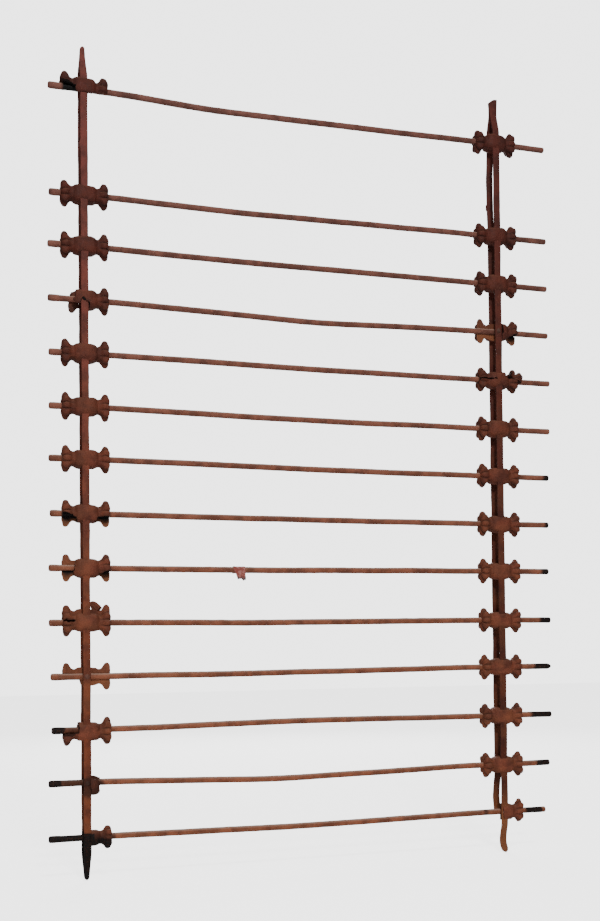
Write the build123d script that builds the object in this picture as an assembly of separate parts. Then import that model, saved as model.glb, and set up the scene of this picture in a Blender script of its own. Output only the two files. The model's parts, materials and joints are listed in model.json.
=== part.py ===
"""Antique window grille in millimetres, +Z up, front towards -Y, origin at the middle of its box.

Fourteen round iron rods lie in the plane Y = 0.  Each upright is a pair of flat straps, one in front of
the rods and one behind, riveted together through every rod and drawn together at their tips.  Every
crossing was cased in a collar of two thin castings, front and rear, which meet in the rods' plane and
spread into fluted wings along the rod.  Time has broken some castings, so those are cut back.
"""

from build123d import *
from math import atan2, tan
import os

# ---- driving dimensions --------------------------------------------------------------------------------
SLOTS = 15  # rivet places along an upright; slot 1 is empty
EMPTY_SLOT = 1
SLOT_PITCH = 110.0
POST_SPACING = 946.0
LEFT_OVERHANG = 73.0  # rod length beyond the centre of the left upright
RIGHT_OVERHANG = 131.0
ROD_D = 13.0
ROD_END_D = 12.6  # dressed thinner outside the collars, to enter a socket
ROD_END_CHAMFER = 2.0
BEND_REACH = 20.0  # run of rod that a slight kink beside a collar takes up, each way
SAG_REACH = 150.0  # the same for the long sag of a span

STRAP_WIDTH = 15.0
STRAP_THICK = 4.5
STRAP_GAP = 26.5  # clear space between the two straps of an upright
SPRUNG_OUT = 7.0  # how far a sprung strap stands out beyond its normal place
LOOSE_END_OUT = 12.0  # the same for the broken lower end of the right rear strap
JOIN_BELOW_TIP = 40.0  # length over which two tips lie together
SPREAD_MARGIN = 6.0  # straight strap beyond a collar's block before it bends
TIP_TAPER = 45.0  # length over which a strap changes from its full width to its tip's
TOP_TIP_WIDTH = (9.0, 21.0)  # left and right; the right one is hammered out flat
BOTTOM_TIP_WIDTH = (10.0, 13.0)
LEFT_TOP_REACH = 88.0  # strap tip above the centre of the first rod
RIGHT_TOP_REACH = 103.0
LEFT_BOTTOM_REACH = 86.0
RIGHT_BOTTOM_REACH = 88.0

RIVET_D = 6.0
RIVET_HEAD_D = 11.0
RIVET_HEAD_H = 2.0
HEAD_CLEARANCE = 0.3
NAIL_HOLE_D = 5.0
NAIL_HOLE_BELOW_TIP = 20.0

COLLAR_LENGTH = 98.0
COLLAR_OFFSET = 2.0  # middle of a collar, right of its upright's
END_GAP = 1.0  # full rod beyond a collar before the thinner end starts
WING_HEIGHT = 52.0
BLOCK_WIDTH = 38.0
BLOCK_HEIGHT = 38.0
NECK_HEIGHT = 31.0
PAD_WIDTH = 25.0
PAD_SKIN = 5.0  # casting thickness over the strap
WALL = 4.0  # casting over the rod at the wing's end; twice that at its neck
NECK_STEP = 4.0  # run from the block's side to the neck of the wing
LOBE_INSET = 10.0  # lobe tip back from the wing's end
FLARE = 5.0  # how much deeper the wing is at its lobes than at its neck

RAG_WIDTH = 24.0
RAG_WRAP = 1.5
RAG_DROP = 22.0
RAG_FROM_LEFT = 327.0  # middle of the scrap of cloth, from the left upright

# Slot, seat offset left and right, where the span sags (share of it), sag, extra length left and right.
RODS = (
    (0, -0.5, -2.5, 0.30, -8.5, -2.0, 0.0),
    (2, -0.5, 2.0, 0.30, -4.5, -3.0, 2.0),
    (3, 2.8, 1.2, 0.35, -2.5, 0.0, 3.0),
    (4, 1.5, 0.5, 0.52, -10.0, 0.0, 3.5),
    (5, 0.5, -1.0, 0.60, -1.5, -1.0, 7.0),
    (6, 0.5, -3.0, 0.50, -3.0, -1.0, 5.0),
    (7, 3.0, -1.5, 0.60, -2.0, 0.0, 1.0),
    (8, 0.3, -1.2, 0.50, -0.8, -2.0, -1.0),
    (9, -1.0, 0.8, 0.30, -1.5, 1.0, -2.5),
    (10, -2.5, -1.5, 0.38, -2.0, 1.0, 1.0),
    (11, -2.5, 2.0, 0.40, -1.5, -2.0, 2.0),
    (12, -1.5, 1.0, 0.50, 4.5, -3.5, 0.0),
    (13, 1.5, 0.0, 0.42, -10.0, 3.0, -7.0),
    (14, 0.0, 2.5, 0.50, -4.0, 3.5, -19.0),
)
LEFT, RIGHT = 0, 1
SIDE_NAMES = ("left", "right")

# What is left of a broken casting, seen from the front: corners in half lengths and half wing heights.
MISSING_FRONT = {(LEFT, 11), (LEFT, 13)}
MISSING_REAR = {(RIGHT, 14)}
LODGED_ON_END = {(RIGHT, 5)}  # where a loose lobe lies against the rod's end
KEPT_FRONT = {
    (LEFT, 1): (
        (-1.3, 1.3), (1.3, 1.3), (1.3, -0.15), (0.5, -0.35), (0.45, -1.3),
        (-0.3, -1.3), (-0.35, -0.1), (-0.7, 0.1), (-1.3, 0.25),
    ),
    (LEFT, 4): ((-0.28, 1.3), (1.3, 1.3), (1.3, -1.3), (0.2, -1.3), (0.2, -0.1), (-0.3, 0.15)),
    (LEFT, 8): (
        (-1.3, 1.3), (1.3, 1.3), (1.3, -0.2), (0.55, -0.3), (0.35, -0.7),
        (0.3, -1.3), (-0.3, -1.3), (-0.35, -0.6), (-0.5, -0.2), (-1.3, -0.1),
    ),
    (LEFT, 9): (
        (-0.25, 1.3), (1.3, 1.3), (1.3, -0.15), (0.55, -0.3),
        (0.4, -1.3), (-0.35, -1.3), (-0.45, -0.1),
    ),
    (LEFT, 12): ((-1.3, -1.3), (1.3, -1.3), (1.3, 1.3), (-0.33, 1.3), (-0.33, 0.0), (-1.3, -0.3)),
    (LEFT, 14): ((0.16, 1.3), (1.3, 1.3), (1.3, -1.3), (0.2, -1.3)),
    (RIGHT, 4): ((0.2, 1.3), (1.3, 1.3), (1.3, -0.1), (0.6, -0.4), (0.22, -0.5)),
    (RIGHT, 5): ((-1.3, 1.3), (0.38, 1.3), (0.32, 0.1), (1.3, 0.0), (1.3, -1.3), (-1.3, -1.3)),
    (RIGHT, 14): ((-0.12, 1.3), (1.3, 1.3), (1.3, -1.3), (-0.05, -1.3)),
}
KEPT_REAR = {
    (LEFT, 1): ((-1.3, 1.3), (1.3, 1.3), (1.3, 0.05), (-1.3, 0.05)),
    (LEFT, 4): ((-0.5, 1.3), (1.3, 1.3), (1.3, -1.3), (0.1, -1.3), (-0.12, 0.0), (-0.5, 0.0)),
    (LEFT, 11): ((-1.3, 1.3), (1.3, 1.3), (1.3, -1.3), (-0.1, -1.3), (-0.2, 0.0), (-1.3, 0.05)),
    (LEFT, 12): ((-1.3, -1.3), (1.3, -1.3), (1.3, 1.3), (-0.3, 1.3), (-0.3, 0.0), (-1.3, -0.3)),
    (LEFT, 13): ((-0.05, 1.3), (0.5, 1.3), (0.5, -1.3), (-0.05, -1.3)),
    (LEFT, 14): ((0.0, 1.3), (1.3, 1.3), (1.3, -1.3), (0.0, -1.3)),
}
# How far a casting has slid along its straps.
SLIPPED_REAR = {(LEFT, 10): 9.0, (LEFT, 13): -6.0}
# Lobes broken off a casting and rusted fast nearby: side, row, rear or not, the lobe's outline as above,
# where its middle is now from the middle of the crossing, and its turn, clockwise from the front.
UPPER_RIGHT_LOBE = ((0.4, 0.1), (1.3, 0.1), (1.3, 1.3), (0.4, 1.3))
LOWER_LEFT_LOBE = ((-0.55, -0.1), (-1.3, -0.1), (-1.3, -1.3), (-0.55, -1.3))
FRAGMENTS = (
    (RIGHT, 5, False, UPPER_RIGHT_LOBE, (44.0, -12.0, 14.0), 28.0),
    (LEFT, 4, True, LOWER_LEFT_LOBE, (-19.0, 12.0, -14.0), 8.0),
    (LEFT, 10, True, UPPER_RIGHT_LOBE, (17.0, 12.0, 27.0), -50.0),
)

# ---- places worked out from the dimensions -------------------------------------------------------------
ROD_R = ROD_D / 2
HALF_LENGTH = COLLAR_LENGTH / 2
TALL = SLOTS * SLOT_PITCH  # longer than any upright on either side of the origin
STRAP_PLACE = STRAP_GAP / 2 + STRAP_THICK / 2  # middle of a strap, from the rods' plane
STRAP_OUTSIDE = STRAP_PLACE + STRAP_THICK / 2
PAD_DEPTH = STRAP_OUTSIDE + PAD_SKIN
SHOULDER_DEPTH = STRAP_OUTSIDE + PAD_SKIN / 3
NECK_DEPTH = ROD_R + 2 * WALL
END_DEPTH = ROD_R + WALL
FLARE_DEPTH = NECK_DEPTH + FLARE
NECK_X = BLOCK_WIDTH / 2 + NECK_STEP
LOBE_X = HALF_LENGTH - LOBE_INSET
ROW_SPAN = (SLOTS - 1) * SLOT_PITCH
FIRST_SLOT_Z = (ROW_SPAN + RIGHT_BOTTOM_REACH - RIGHT_TOP_REACH) / 2
LEFT_POST_X = LEFT_OVERHANG - (LEFT_OVERHANG + POST_SPACING + RIGHT_OVERHANG) / 2
POST_X = (LEFT_POST_X, LEFT_POST_X + POST_SPACING)
ROWS = range(1, len(RODS) + 1)


def slot_z(slot):
    """Height of a rivet place on a true upright."""
    return FIRST_SLOT_Z - slot * SLOT_PITCH


def seat_z(side, row):
    """Height of a rod where it crosses an upright."""
    slot, *offsets = RODS[row - 1][:3]
    return slot_z(slot) + offsets[side]


def prism(outline, plane, reach):
    """Closed outline of (a, b) corners pushed out both ways from its plane."""
    return extrude(plane * make_face(Polyline(*outline, close=True)), reach, both=True)


def combined(shapes):
    """Separate solids gathered as one node."""
    return Compound(children=[solid for shape in shapes for solid in shape.solids()])


# ---- rods ----------------------------------------------------------------------------------------------
def rod_points(row):
    """Corners of a rod's centre line: two straight ends through the collars and one sag between them."""
    _, _, _, share, sag, extra_left, extra_right = RODS[row - 1]
    left_z, right_z = seat_z(LEFT, row), seat_z(RIGHT, row)
    kink = HALF_LENGTH + BEND_REACH + SPREAD_MARGIN
    ends = (
        (POST_X[LEFT] - LEFT_OVERHANG - extra_left, left_z),
        (POST_X[RIGHT] + RIGHT_OVERHANG + extra_right, right_z),
    )
    kinks = ((POST_X[LEFT] + kink, left_z), (POST_X[RIGHT] - kink, right_z))
    if not sag and left_z == right_z:
        return ends
    sag_point = (POST_X[LEFT] + share * POST_SPACING, left_z + share * (right_z - left_z) + sag)
    return (ends[0], kinks[0], sag_point, kinks[1], ends[1])


def bend_radii(points):
    """Radius at each corner, so that the bend starts the same reach before it whatever its angle."""
    radii = []
    for index in range(1, len(points) - 1):
        (x0, z0), (x1, z1), (x2, z2) = points[index - 1 : index + 2]
        turn = abs(atan2(z2 - z1, x2 - x1) - atan2(z1 - z0, x1 - x0))
        reach = SAG_REACH if index == 2 else BEND_REACH
        radii.append(reach / tan(turn / 2))
    return radii


def make_rod(row):
    """Round rod with chamfered ends and a rivet hole at each upright."""
    points = rod_points(row)
    if len(points) == 2:
        path = Line(*points)
    else:
        path = FilletPolyline(*points, radius=bend_radii(points))
    path = Plane.XZ * path
    rod = sweep(Plane(path @ 0, z_dir=path % 0) * Circle(ROD_R), path=path)
    faces = rod.faces().sort_by(Axis.X)
    rod = chamfer(faces[0].edges() + faces[-1].edges(), ROD_END_CHAMFER)
    for side in (LEFT, RIGHT):
        rod -= cross_hole(POST_X[side], seat_z(side, row), RIVET_D)
        rod -= end_dressing(side, row)
    return rod


def end_start(side, row):
    """Where the thinner end of a rod begins, just outside its collar or the lobe that lies against it."""
    reach = HALF_LENGTH + END_GAP + (LOBE_INSET if (side, row) in LODGED_ON_END else 0)
    return POST_X[side] + COLLAR_OFFSET + (reach if side == RIGHT else -reach)


def end_dressing(side, row):
    """Thin ring of iron taken off one end of a rod."""
    outwards = 1 if side == RIGHT else -1
    ring = Cylinder(ROD_D, 2 * RIGHT_OVERHANG) - Cylinder(ROD_END_D / 2, 2 * RIGHT_OVERHANG)
    middle = end_start(side, row) + outwards * RIGHT_OVERHANG
    return Pos(middle, 0, seat_z(side, row)) * Rot(0, 90, 0) * ring


def cross_hole(x, z, diameter):
    """Cylinder along Y through the whole upright."""
    return Pos(x, 0, z) * Rot(90, 0, 0) * Cylinder(diameter / 2, 4 * PAD_DEPTH)


# ---- straps --------------------------------------------------------------------------------------------
def strap_stations(side, rear):
    """Heights from the top down with the strap's distance from the rods' plane at each."""
    top = slot_z(0) + (LEFT_TOP_REACH, RIGHT_TOP_REACH)[side]
    bottom = slot_z(SLOTS - 1) - (LEFT_BOTTOM_REACH, RIGHT_BOTTOM_REACH)[side]
    clear = BLOCK_HEIGHT / 2 + SPREAD_MARGIN
    together, apart = STRAP_THICK / 2, STRAP_PLACE
    first, last = seat_z(side, 1), seat_z(side, len(RODS))
    stations = [(top, together), (top - JOIN_BELOW_TIP, together), (first + clear, apart)]
    if side == RIGHT and rear:
        second, thirteenth = seat_z(side, 2), seat_z(side, 13)
        middle = slot_z(EMPTY_SLOT)
        sprung = apart + SPRUNG_OUT
        stations += [(first - clear, apart), (middle + SLOT_PITCH / 3, sprung)]
        stations += [(middle - SLOT_PITCH / 3, sprung), (second + clear, apart)]
        stations.append((thirteenth - clear, apart))
        loose = apart + LOOSE_END_OUT
        return stations + [(last + SLOT_PITCH / 4, loose), (last - ROD_R / 3, loose)]
    stations.append((last - clear, apart))
    tip = apart - STRAP_THICK if side == RIGHT else together
    return stations + [(bottom + TIP_TAPER / 2, together), (bottom, tip)]


def tip_outline(side, rear, top, bottom):
    """Front view of a strap: full width, changing evenly to the width of each tip that was forged."""
    wide, head, foot = STRAP_WIDTH / 2, TOP_TIP_WIDTH[side] / 2, BOTTOM_TIP_WIDTH[side] / 2
    right = [(head, top), (wide, top - TIP_TAPER)]
    if side == RIGHT and rear:
        right.append((wide, bottom))
    else:
        right += [(wide, bottom + TIP_TAPER), (foot, bottom)]
    return right + [(-x, z) for x, z in reversed(right)]


def make_strap(side, rear):
    """Flat strap bent to its stations, tapered at its tips and pierced for every rivet."""
    sign = 1 if rear else -1
    stations = strap_stations(side, rear)
    inner = [(sign * (place - STRAP_THICK / 2), z) for z, place in stations]
    outer = [(sign * (place + STRAP_THICK / 2), z) for z, place in stations]
    strap = prism(inner + outer[::-1], Plane.YZ, max(STRAP_WIDTH, TOP_TIP_WIDTH[side]) / 2)
    outline = tip_outline(side, rear, stations[0][0], stations[-1][0])
    strap = Pos(POST_X[side], 0, 0) * (strap & prism(outline, Plane.XZ, 4 * PAD_DEPTH))
    for row in ROWS:
        strap -= cross_hole(POST_X[side], seat_z(side, row), RIVET_D)
    strap -= cross_hole(POST_X[side], slot_z(EMPTY_SLOT), RIVET_D)
    if side == RIGHT:
        strap -= cross_hole(POST_X[side], stations[0][0] - NAIL_HOLE_BELOW_TIP, NAIL_HOLE_D)
    return strap


# ---- rivets --------------------------------------------------------------------------------------------
def make_rivet():
    """Rivet along Y with a low domed head on the outside of each strap."""
    shank, head, top = RIVET_D / 2, RIVET_HEAD_D / 2, STRAP_OUTSIDE + RIVET_HEAD_H
    flat = head / 3
    edge = Line((shank, -STRAP_OUTSIDE), (shank, STRAP_OUTSIDE))
    for sign in (-1, 1):
        under = sign * STRAP_OUTSIDE
        brow = (head * 0.75, sign * (top - RIVET_HEAD_H * 0.3))
        edge += Line((shank, under), (head, under))
        edge += ThreePointArc((head, under), brow, (flat, sign * top))
        edge += Line((flat, sign * top), (0, sign * top))
    return revolve(make_face(edge + Line((0, -top), (0, top))), Axis.Y)


# ---- cast collars --------------------------------------------------------------------------------------
def silhouette():
    """Front view of a collar: a square block between two wings, each with a rounded lobe above and below."""
    block, neck, lobe = BLOCK_HEIGHT / 2, NECK_HEIGHT / 2, WING_HEIGHT / 2
    corners = [
        (BLOCK_WIDTH / 2, block),
        (NECK_X, neck),
        (LOBE_X - LOBE_INSET / 2, lobe - LOBE_INSET / 3),
        (LOBE_X, lobe),
        (HALF_LENGTH - LOBE_INSET / 3, lobe - LOBE_INSET / 3),
        (HALF_LENGTH - 1, neck / 2),
        (HALF_LENGTH, ROD_R),
    ]
    curves = Line((0, block), corners[0]) + Line(corners[0], corners[1])
    middle = ((corners[1][0] + corners[2][0]) / 2, neck + (lobe - neck) / 4)
    curves += ThreePointArc(corners[1], middle, corners[2])
    curves += ThreePointArc(*corners[2:5])
    curves += ThreePointArc(*corners[4:7])
    curves += Line(corners[6], (HALF_LENGTH, 0))
    right = curves + mirror(curves, Plane.XZ)
    return make_face(right + mirror(right, Plane.YZ))


def depth_outline():
    """Top view of the front casting: pad, shoulders, neck and flared wing, from the rods' plane outwards."""
    right = [
        (PAD_WIDTH / 2, PAD_DEPTH),
        (PAD_WIDTH / 2 + 1, SHOULDER_DEPTH),
        (BLOCK_WIDTH / 2, SHOULDER_DEPTH),
        (NECK_X, NECK_DEPTH),
        (LOBE_X, FLARE_DEPTH),
        (HALF_LENGTH - 2, FLARE_DEPTH - 1),
        (HALF_LENGTH, END_DEPTH),
        (HALF_LENGTH, 0),
    ]
    return [(x, -depth) for x, depth in right + [(-x, depth) for x, depth in reversed(right)]]


def side_outline():
    """Side view of the front casting: straight in front, its upper and lower edges cut back."""
    upper = [(0, WING_HEIGHT / 2), (-PAD_DEPTH / 2, WING_HEIGHT / 2), (-PAD_DEPTH, BLOCK_HEIGHT / 4)]
    return upper + [(y, -z) for y, z in reversed(upper)]


def make_skin():
    """Front casting at the origin, solid, before anything passes through it."""
    front_view = extrude(Plane.XZ * silhouette(), 2 * PAD_DEPTH, both=True)
    top_view = prism(depth_outline(), Plane.XY, WING_HEIGHT)
    return front_view & top_view & prism(side_outline(), Plane.YZ, COLLAR_LENGTH)


def passages(slip):
    """Everything a casting is cast around: rod, both straps, rivet and its heads."""
    rod = Rot(0, 90, 0) * Cylinder(ROD_R, 2 * COLLAR_LENGTH)
    shank = Rot(90, 0, 0) * Cylinder(RIVET_D / 2, 2 * STRAP_OUTSIDE)
    cuts = [rod, shank]
    for sign in (-1, 1):
        cuts.append(Pos(0, sign * STRAP_PLACE, 0) * Box(STRAP_WIDTH, STRAP_THICK, 2 * WING_HEIGHT))
        head = Cylinder(RIVET_HEAD_D / 2 + HEAD_CLEARANCE, 2 * (RIVET_HEAD_H + HEAD_CLEARANCE))
        cuts.append(Pos(0, sign * STRAP_OUTSIDE, 0) * Rot(90, 0, 0) * head)
    if slip:
        cuts += [Pos(0, 0, slip) * rod, Pos(0, 0, slip / 2) * Box(2 * COLLAR_LENGTH, ROD_D, abs(slip))]
    return cuts


def make_casting(skin, side, row, rear):
    """One casting in its place, cut back to what is left of it."""
    slip = SLIPPED_REAR.get((side, row), 0.0) if rear else 0.0
    casting = Pos(COLLAR_OFFSET, 0, slip) * (mirror(skin, Plane.XZ) if rear else skin)
    for cut in passages(slip):
        casting -= cut
    kept = (KEPT_REAR if rear else KEPT_FRONT).get((side, row))
    if kept:
        corners = [(COLLAR_OFFSET + u * HALF_LENGTH, v * WING_HEIGHT / 2 + slip) for u, v in kept]
        casting &= prism(corners, Plane.XZ, 2 * PAD_DEPTH)
    return Pos(POST_X[side], 0, seat_z(side, row)) * casting


def make_fragment(skin, fragment, nodes):
    """Broken-off lobe in its new place, shaped to what it is rusted against."""
    side, row, rear, outline, place, turn = fragment
    name = SIDE_NAMES[side]
    touched = (
        f"rod_{row:02d}",
        f"{name}_front_strap",
        f"{name}_rear_strap",
        f"{name}_front_collar_{row:02d}",
        f"{name}_rear_collar_{row:02d}",
    )
    corners = [(u * HALF_LENGTH, v * WING_HEIGHT / 2) for u, v in outline]
    lobe = (mirror(skin, Plane.XZ) if rear else skin) & prism(corners, Plane.XZ, 2 * PAD_DEPTH)
    crossing = Pos(POST_X[side], 0, seat_z(side, row))
    lobe = crossing * Pos(*place) * Rot(0, turn, 0) * Pos(-lobe.center()) * lobe
    for neighbour in touched:
        if neighbour in nodes:
            lobe -= nodes[neighbour]
    return lobe.solids().sort_by(SortBy.VOLUME)[-1]


# ---- scrap of cloth ------------------------------------------------------------------------------------
def make_rag():
    """Scrap of cloth wrapped once round rod 9, with a short hanging tail."""
    x = POST_X[LEFT] + RAG_FROM_LEFT
    left_z, sag = seat_z(LEFT, 9), RODS[8][4]
    z = left_z + sag
    outer = ROD_R + RAG_WRAP
    wrap = Pos(x, 0, z) * Rot(0, 90, 0) * Cylinder(outer, RAG_WIDTH)
    tail = Pos(x, -ROD_R, z - RAG_DROP / 2) * Box(RAG_WIDTH * 0.7, RAG_WRAP, RAG_DROP)
    return wrap + tail - make_rod(9)


# ---- the whole grille ----------------------------------------------------------------------------------
def make_collars(skin):
    """Named castings: every front one and every broken rear one alone, whole rear ones grouped by side."""
    nodes = {}
    for side in (LEFT, RIGHT):
        whole = []
        for row in ROWS:
            key, name = (side, row), f"collar_{row:02d}"
            if key not in MISSING_FRONT:
                nodes[f"{SIDE_NAMES[side]}_front_{name}"] = make_casting(skin, side, row, False)
            if key in MISSING_REAR:
                continue
            casting = make_casting(skin, side, row, True)
            if key in KEPT_REAR or key in SLIPPED_REAR:
                nodes[f"{SIDE_NAMES[side]}_rear_{name}"] = casting
            else:
                whole.append(casting)
        nodes[f"{SIDE_NAMES[side]}_rear_collars_whole"] = combined(whole)
    return nodes


def main():
    """Every node under its name."""
    skin = make_skin()
    nodes = {f"rod_{row:02d}": make_rod(row) for row in ROWS}
    for side in (LEFT, RIGHT):
        for rear, face in ((False, "front"), (True, "rear")):
            nodes[f"{SIDE_NAMES[side]}_{face}_strap"] = make_strap(side, rear)
        rivet = make_rivet()
        places = [Pos(POST_X[side], 0, seat_z(side, row)) for row in ROWS]
        nodes[f"{SIDE_NAMES[side]}_rivets"] = combined([place * rivet for place in places])
    nodes |= make_collars(skin)
    for fragment in FRAGMENTS:
        side, row, rear = fragment[:3]
        name = f"{SIDE_NAMES[side]}_{'rear' if rear else 'front'}_collar_{row:02d}_lobe"
        nodes[name] = make_fragment(skin, fragment, nodes)
    nodes["rag_scrap"] = make_rag()
    os.makedirs("parts", exist_ok=True)
    for name, shape in nodes.items():
        export_step(shape, f"parts/{name}.step")


main()
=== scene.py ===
"""Antique window grille of round rods between paired straps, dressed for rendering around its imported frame.

Shapes are worked out in millimetres in the part's own frame (+X along the rods, +Z up, -Y out of the front)
and put into their meshes in metres, so every piece's object stays at the origin.
"""

import json
import logging
import math
from dataclasses import dataclass, field
from enum import Enum

import bpy
import numpy as np
from mathutils import Matrix, Vector


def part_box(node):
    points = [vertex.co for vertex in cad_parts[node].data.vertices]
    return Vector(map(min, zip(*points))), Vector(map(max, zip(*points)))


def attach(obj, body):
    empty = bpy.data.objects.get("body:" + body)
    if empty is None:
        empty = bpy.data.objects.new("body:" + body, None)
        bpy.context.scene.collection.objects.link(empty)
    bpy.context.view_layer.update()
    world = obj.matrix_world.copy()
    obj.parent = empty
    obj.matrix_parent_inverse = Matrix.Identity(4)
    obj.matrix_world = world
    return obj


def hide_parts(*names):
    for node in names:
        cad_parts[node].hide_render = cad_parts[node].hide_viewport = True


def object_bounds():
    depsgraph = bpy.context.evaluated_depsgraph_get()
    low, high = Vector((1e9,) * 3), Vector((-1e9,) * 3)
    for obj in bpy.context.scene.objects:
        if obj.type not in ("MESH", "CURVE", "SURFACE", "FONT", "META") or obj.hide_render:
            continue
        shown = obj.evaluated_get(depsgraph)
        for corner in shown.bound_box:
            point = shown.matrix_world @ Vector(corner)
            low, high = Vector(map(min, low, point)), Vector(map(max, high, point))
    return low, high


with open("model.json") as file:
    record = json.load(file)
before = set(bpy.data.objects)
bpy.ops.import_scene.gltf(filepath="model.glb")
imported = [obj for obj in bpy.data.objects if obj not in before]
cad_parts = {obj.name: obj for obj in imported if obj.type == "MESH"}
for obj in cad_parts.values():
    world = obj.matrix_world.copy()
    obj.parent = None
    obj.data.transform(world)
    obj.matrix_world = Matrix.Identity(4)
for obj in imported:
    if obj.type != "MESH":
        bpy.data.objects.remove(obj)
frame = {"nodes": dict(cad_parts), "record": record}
CAD_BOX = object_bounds()

LOG = logging.getLogger("grille")
MM = 0.001
BODY = "root"
ROWS = 14
QUARTER = math.pi / 2
WAVES = 9  # plane waves in one set of random bumps
DRILL_SIDES = 24
DRILL_REACH = 60.0
Array = np.ndarray
Outline = tuple[tuple[float, float], ...]


class Side(Enum):
    """The two uprights, with the sign of the way out along the rods."""

    LEFT = -1
    RIGHT = 1

    @property
    def label(self) -> str:
        """Start of the names of this side's nodes and pieces."""
        return self.name.lower()


class Face(Enum):
    """Front and rear of the grille, with the sign of Y on that side of the rods."""

    FRONT = -1
    REAR = 1

    @property
    def label(self) -> str:
        """Middle of the names of this face's nodes and pieces."""
        return self.name.lower()


# ---- numbers and curves ---------------------------------------------------------------------------
def smooth_step(low: float, high: float, value: Array) -> Array:
    """Ramp from 0 at low to 1 at high: 3t^2 - 2t^3 of the clipped share t.

    Args:
        low: Value where the ramp starts.
        high: Value where it ends; it may be below low.
        value: Values to look up.

    Returns:
        The ramp's height at each value.
    """
    share = np.clip((value - low) / (high - low), 0.0, 1.0)
    return share * share * (3.0 - 2.0 * share)


def bell(centre: float, width: float, value: Array) -> Array:
    """Gaussian bump of height 1 about a centre.

    Args:
        centre: Where the bump stands.
        width: Its standard deviation.
        value: Values to look up.

    Returns:
        exp of minus half the squared distance in widths.
    """
    return np.exp(-0.5 * ((value - centre) / width) ** 2)


def ripple(points: Array, seed: int, wavelength: float, depth: float) -> Array:
    """Random smooth bumps: a sum of plane waves in seeded directions, near the given wavelength.

    Args:
        points: Positions with their coordinates in the last axis.
        seed: Number that picks the directions and phases.
        wavelength: Typical distance between bumps.
        depth: Typical height of a bump.

    Returns:
        One height per position.
    """
    random = np.random.default_rng(seed)
    ways = random.normal(size=(WAVES, points.shape[-1]))
    ways /= np.linalg.norm(ways, axis=1, keepdims=True)
    ways /= wavelength * random.uniform(0.6, 1.7, (WAVES, 1))
    phases = random.uniform(0.0, 2.0 * math.pi, WAVES)
    return depth * np.sin(2.0 * math.pi * points @ ways.T + phases).sum(-1) / math.sqrt(WAVES)


def flow_through(knots: Array, where: Array) -> Array:
    """Cubic curve through knots: Hermite spans whose slopes are the finite differences at the knots.

    Args:
        knots: Rows of (position, value, value, ...), rising in position.
        where: Positions to look up.

    Returns:
        The values at each position, in the last axis.
    """
    at, values = knots[:, 0], knots[:, 1:]
    slopes = np.gradient(values, at, axis=0)
    index = np.clip(np.searchsorted(at, where) - 1, 0, len(at) - 2)
    run = (at[index + 1] - at[index])[..., None]
    share = (where - at[index])[..., None] / run
    start, end = values[index], values[index + 1]
    rise_start, rise_end = slopes[index] * run, slopes[index + 1] * run
    squared, cubed = share**2, share**3
    return (
        start * (2 * cubed - 3 * squared + 1)
        + rise_start * (cubed - 2 * squared + share)
        + end * (3 * squared - 2 * cubed)
        + rise_end * (cubed - squared)
    )


def softened(corners: Array, where: Array, blur: float) -> Array:
    """Bent line with softened corners: the straight line between corners averaged over a Gaussian window.

    Args:
        corners: Rows of (position, value), rising in position.
        where: Positions to look up.
        blur: Standard deviation of the window.

    Returns:
        One value per position.
    """
    window = np.linspace(-2.5, 2.5, 21)
    weights = np.exp(-0.5 * window**2)
    steep = np.diff(corners[:, 1])[[0, -1]] / np.diff(corners[:, 0])[[0, -1]]
    spots = where[..., None] + window * blur
    lines = np.interp(spots, corners[:, 0], corners[:, 1])
    lines += np.minimum(spots - corners[0, 0], 0.0) * steep[0]
    lines += np.maximum(spots - corners[-1, 0], 0.0) * steep[1]
    return (lines * weights).sum(-1) / weights.sum()


def inside_by(outline: Outline, x: Array, z: Array) -> Array:
    """How far each point lies inside an outline, in its own units; negative outside.

    The distance to the nearest edge, signed by counting the edges that a ray to the right crosses.

    Args:
        outline: Corners of the closed outline.
        x: Points across.
        z: Points up.

    Returns:
        One signed distance per point.
    """
    nearest = np.full(x.shape, np.inf)
    crossings = np.zeros(x.shape, int)
    for (x0, z0), (x1, z1) in zip(outline, outline[1:] + outline[:1]):
        run, rise = x1 - x0, z1 - z0
        share = np.clip(((x - x0) * run + (z - z0) * rise) / (run**2 + rise**2), 0.0, 1.0)
        nearest = np.minimum(nearest, np.hypot(x - x0 - share * run, z - z0 - share * rise))
        if rise:
            straddles = (z0 > z) != (z1 > z)
            crossings += straddles & (x < x0 + (z - z0) * run / rise)
    return np.where(crossings % 2 == 1, nearest, -nearest)


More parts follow.
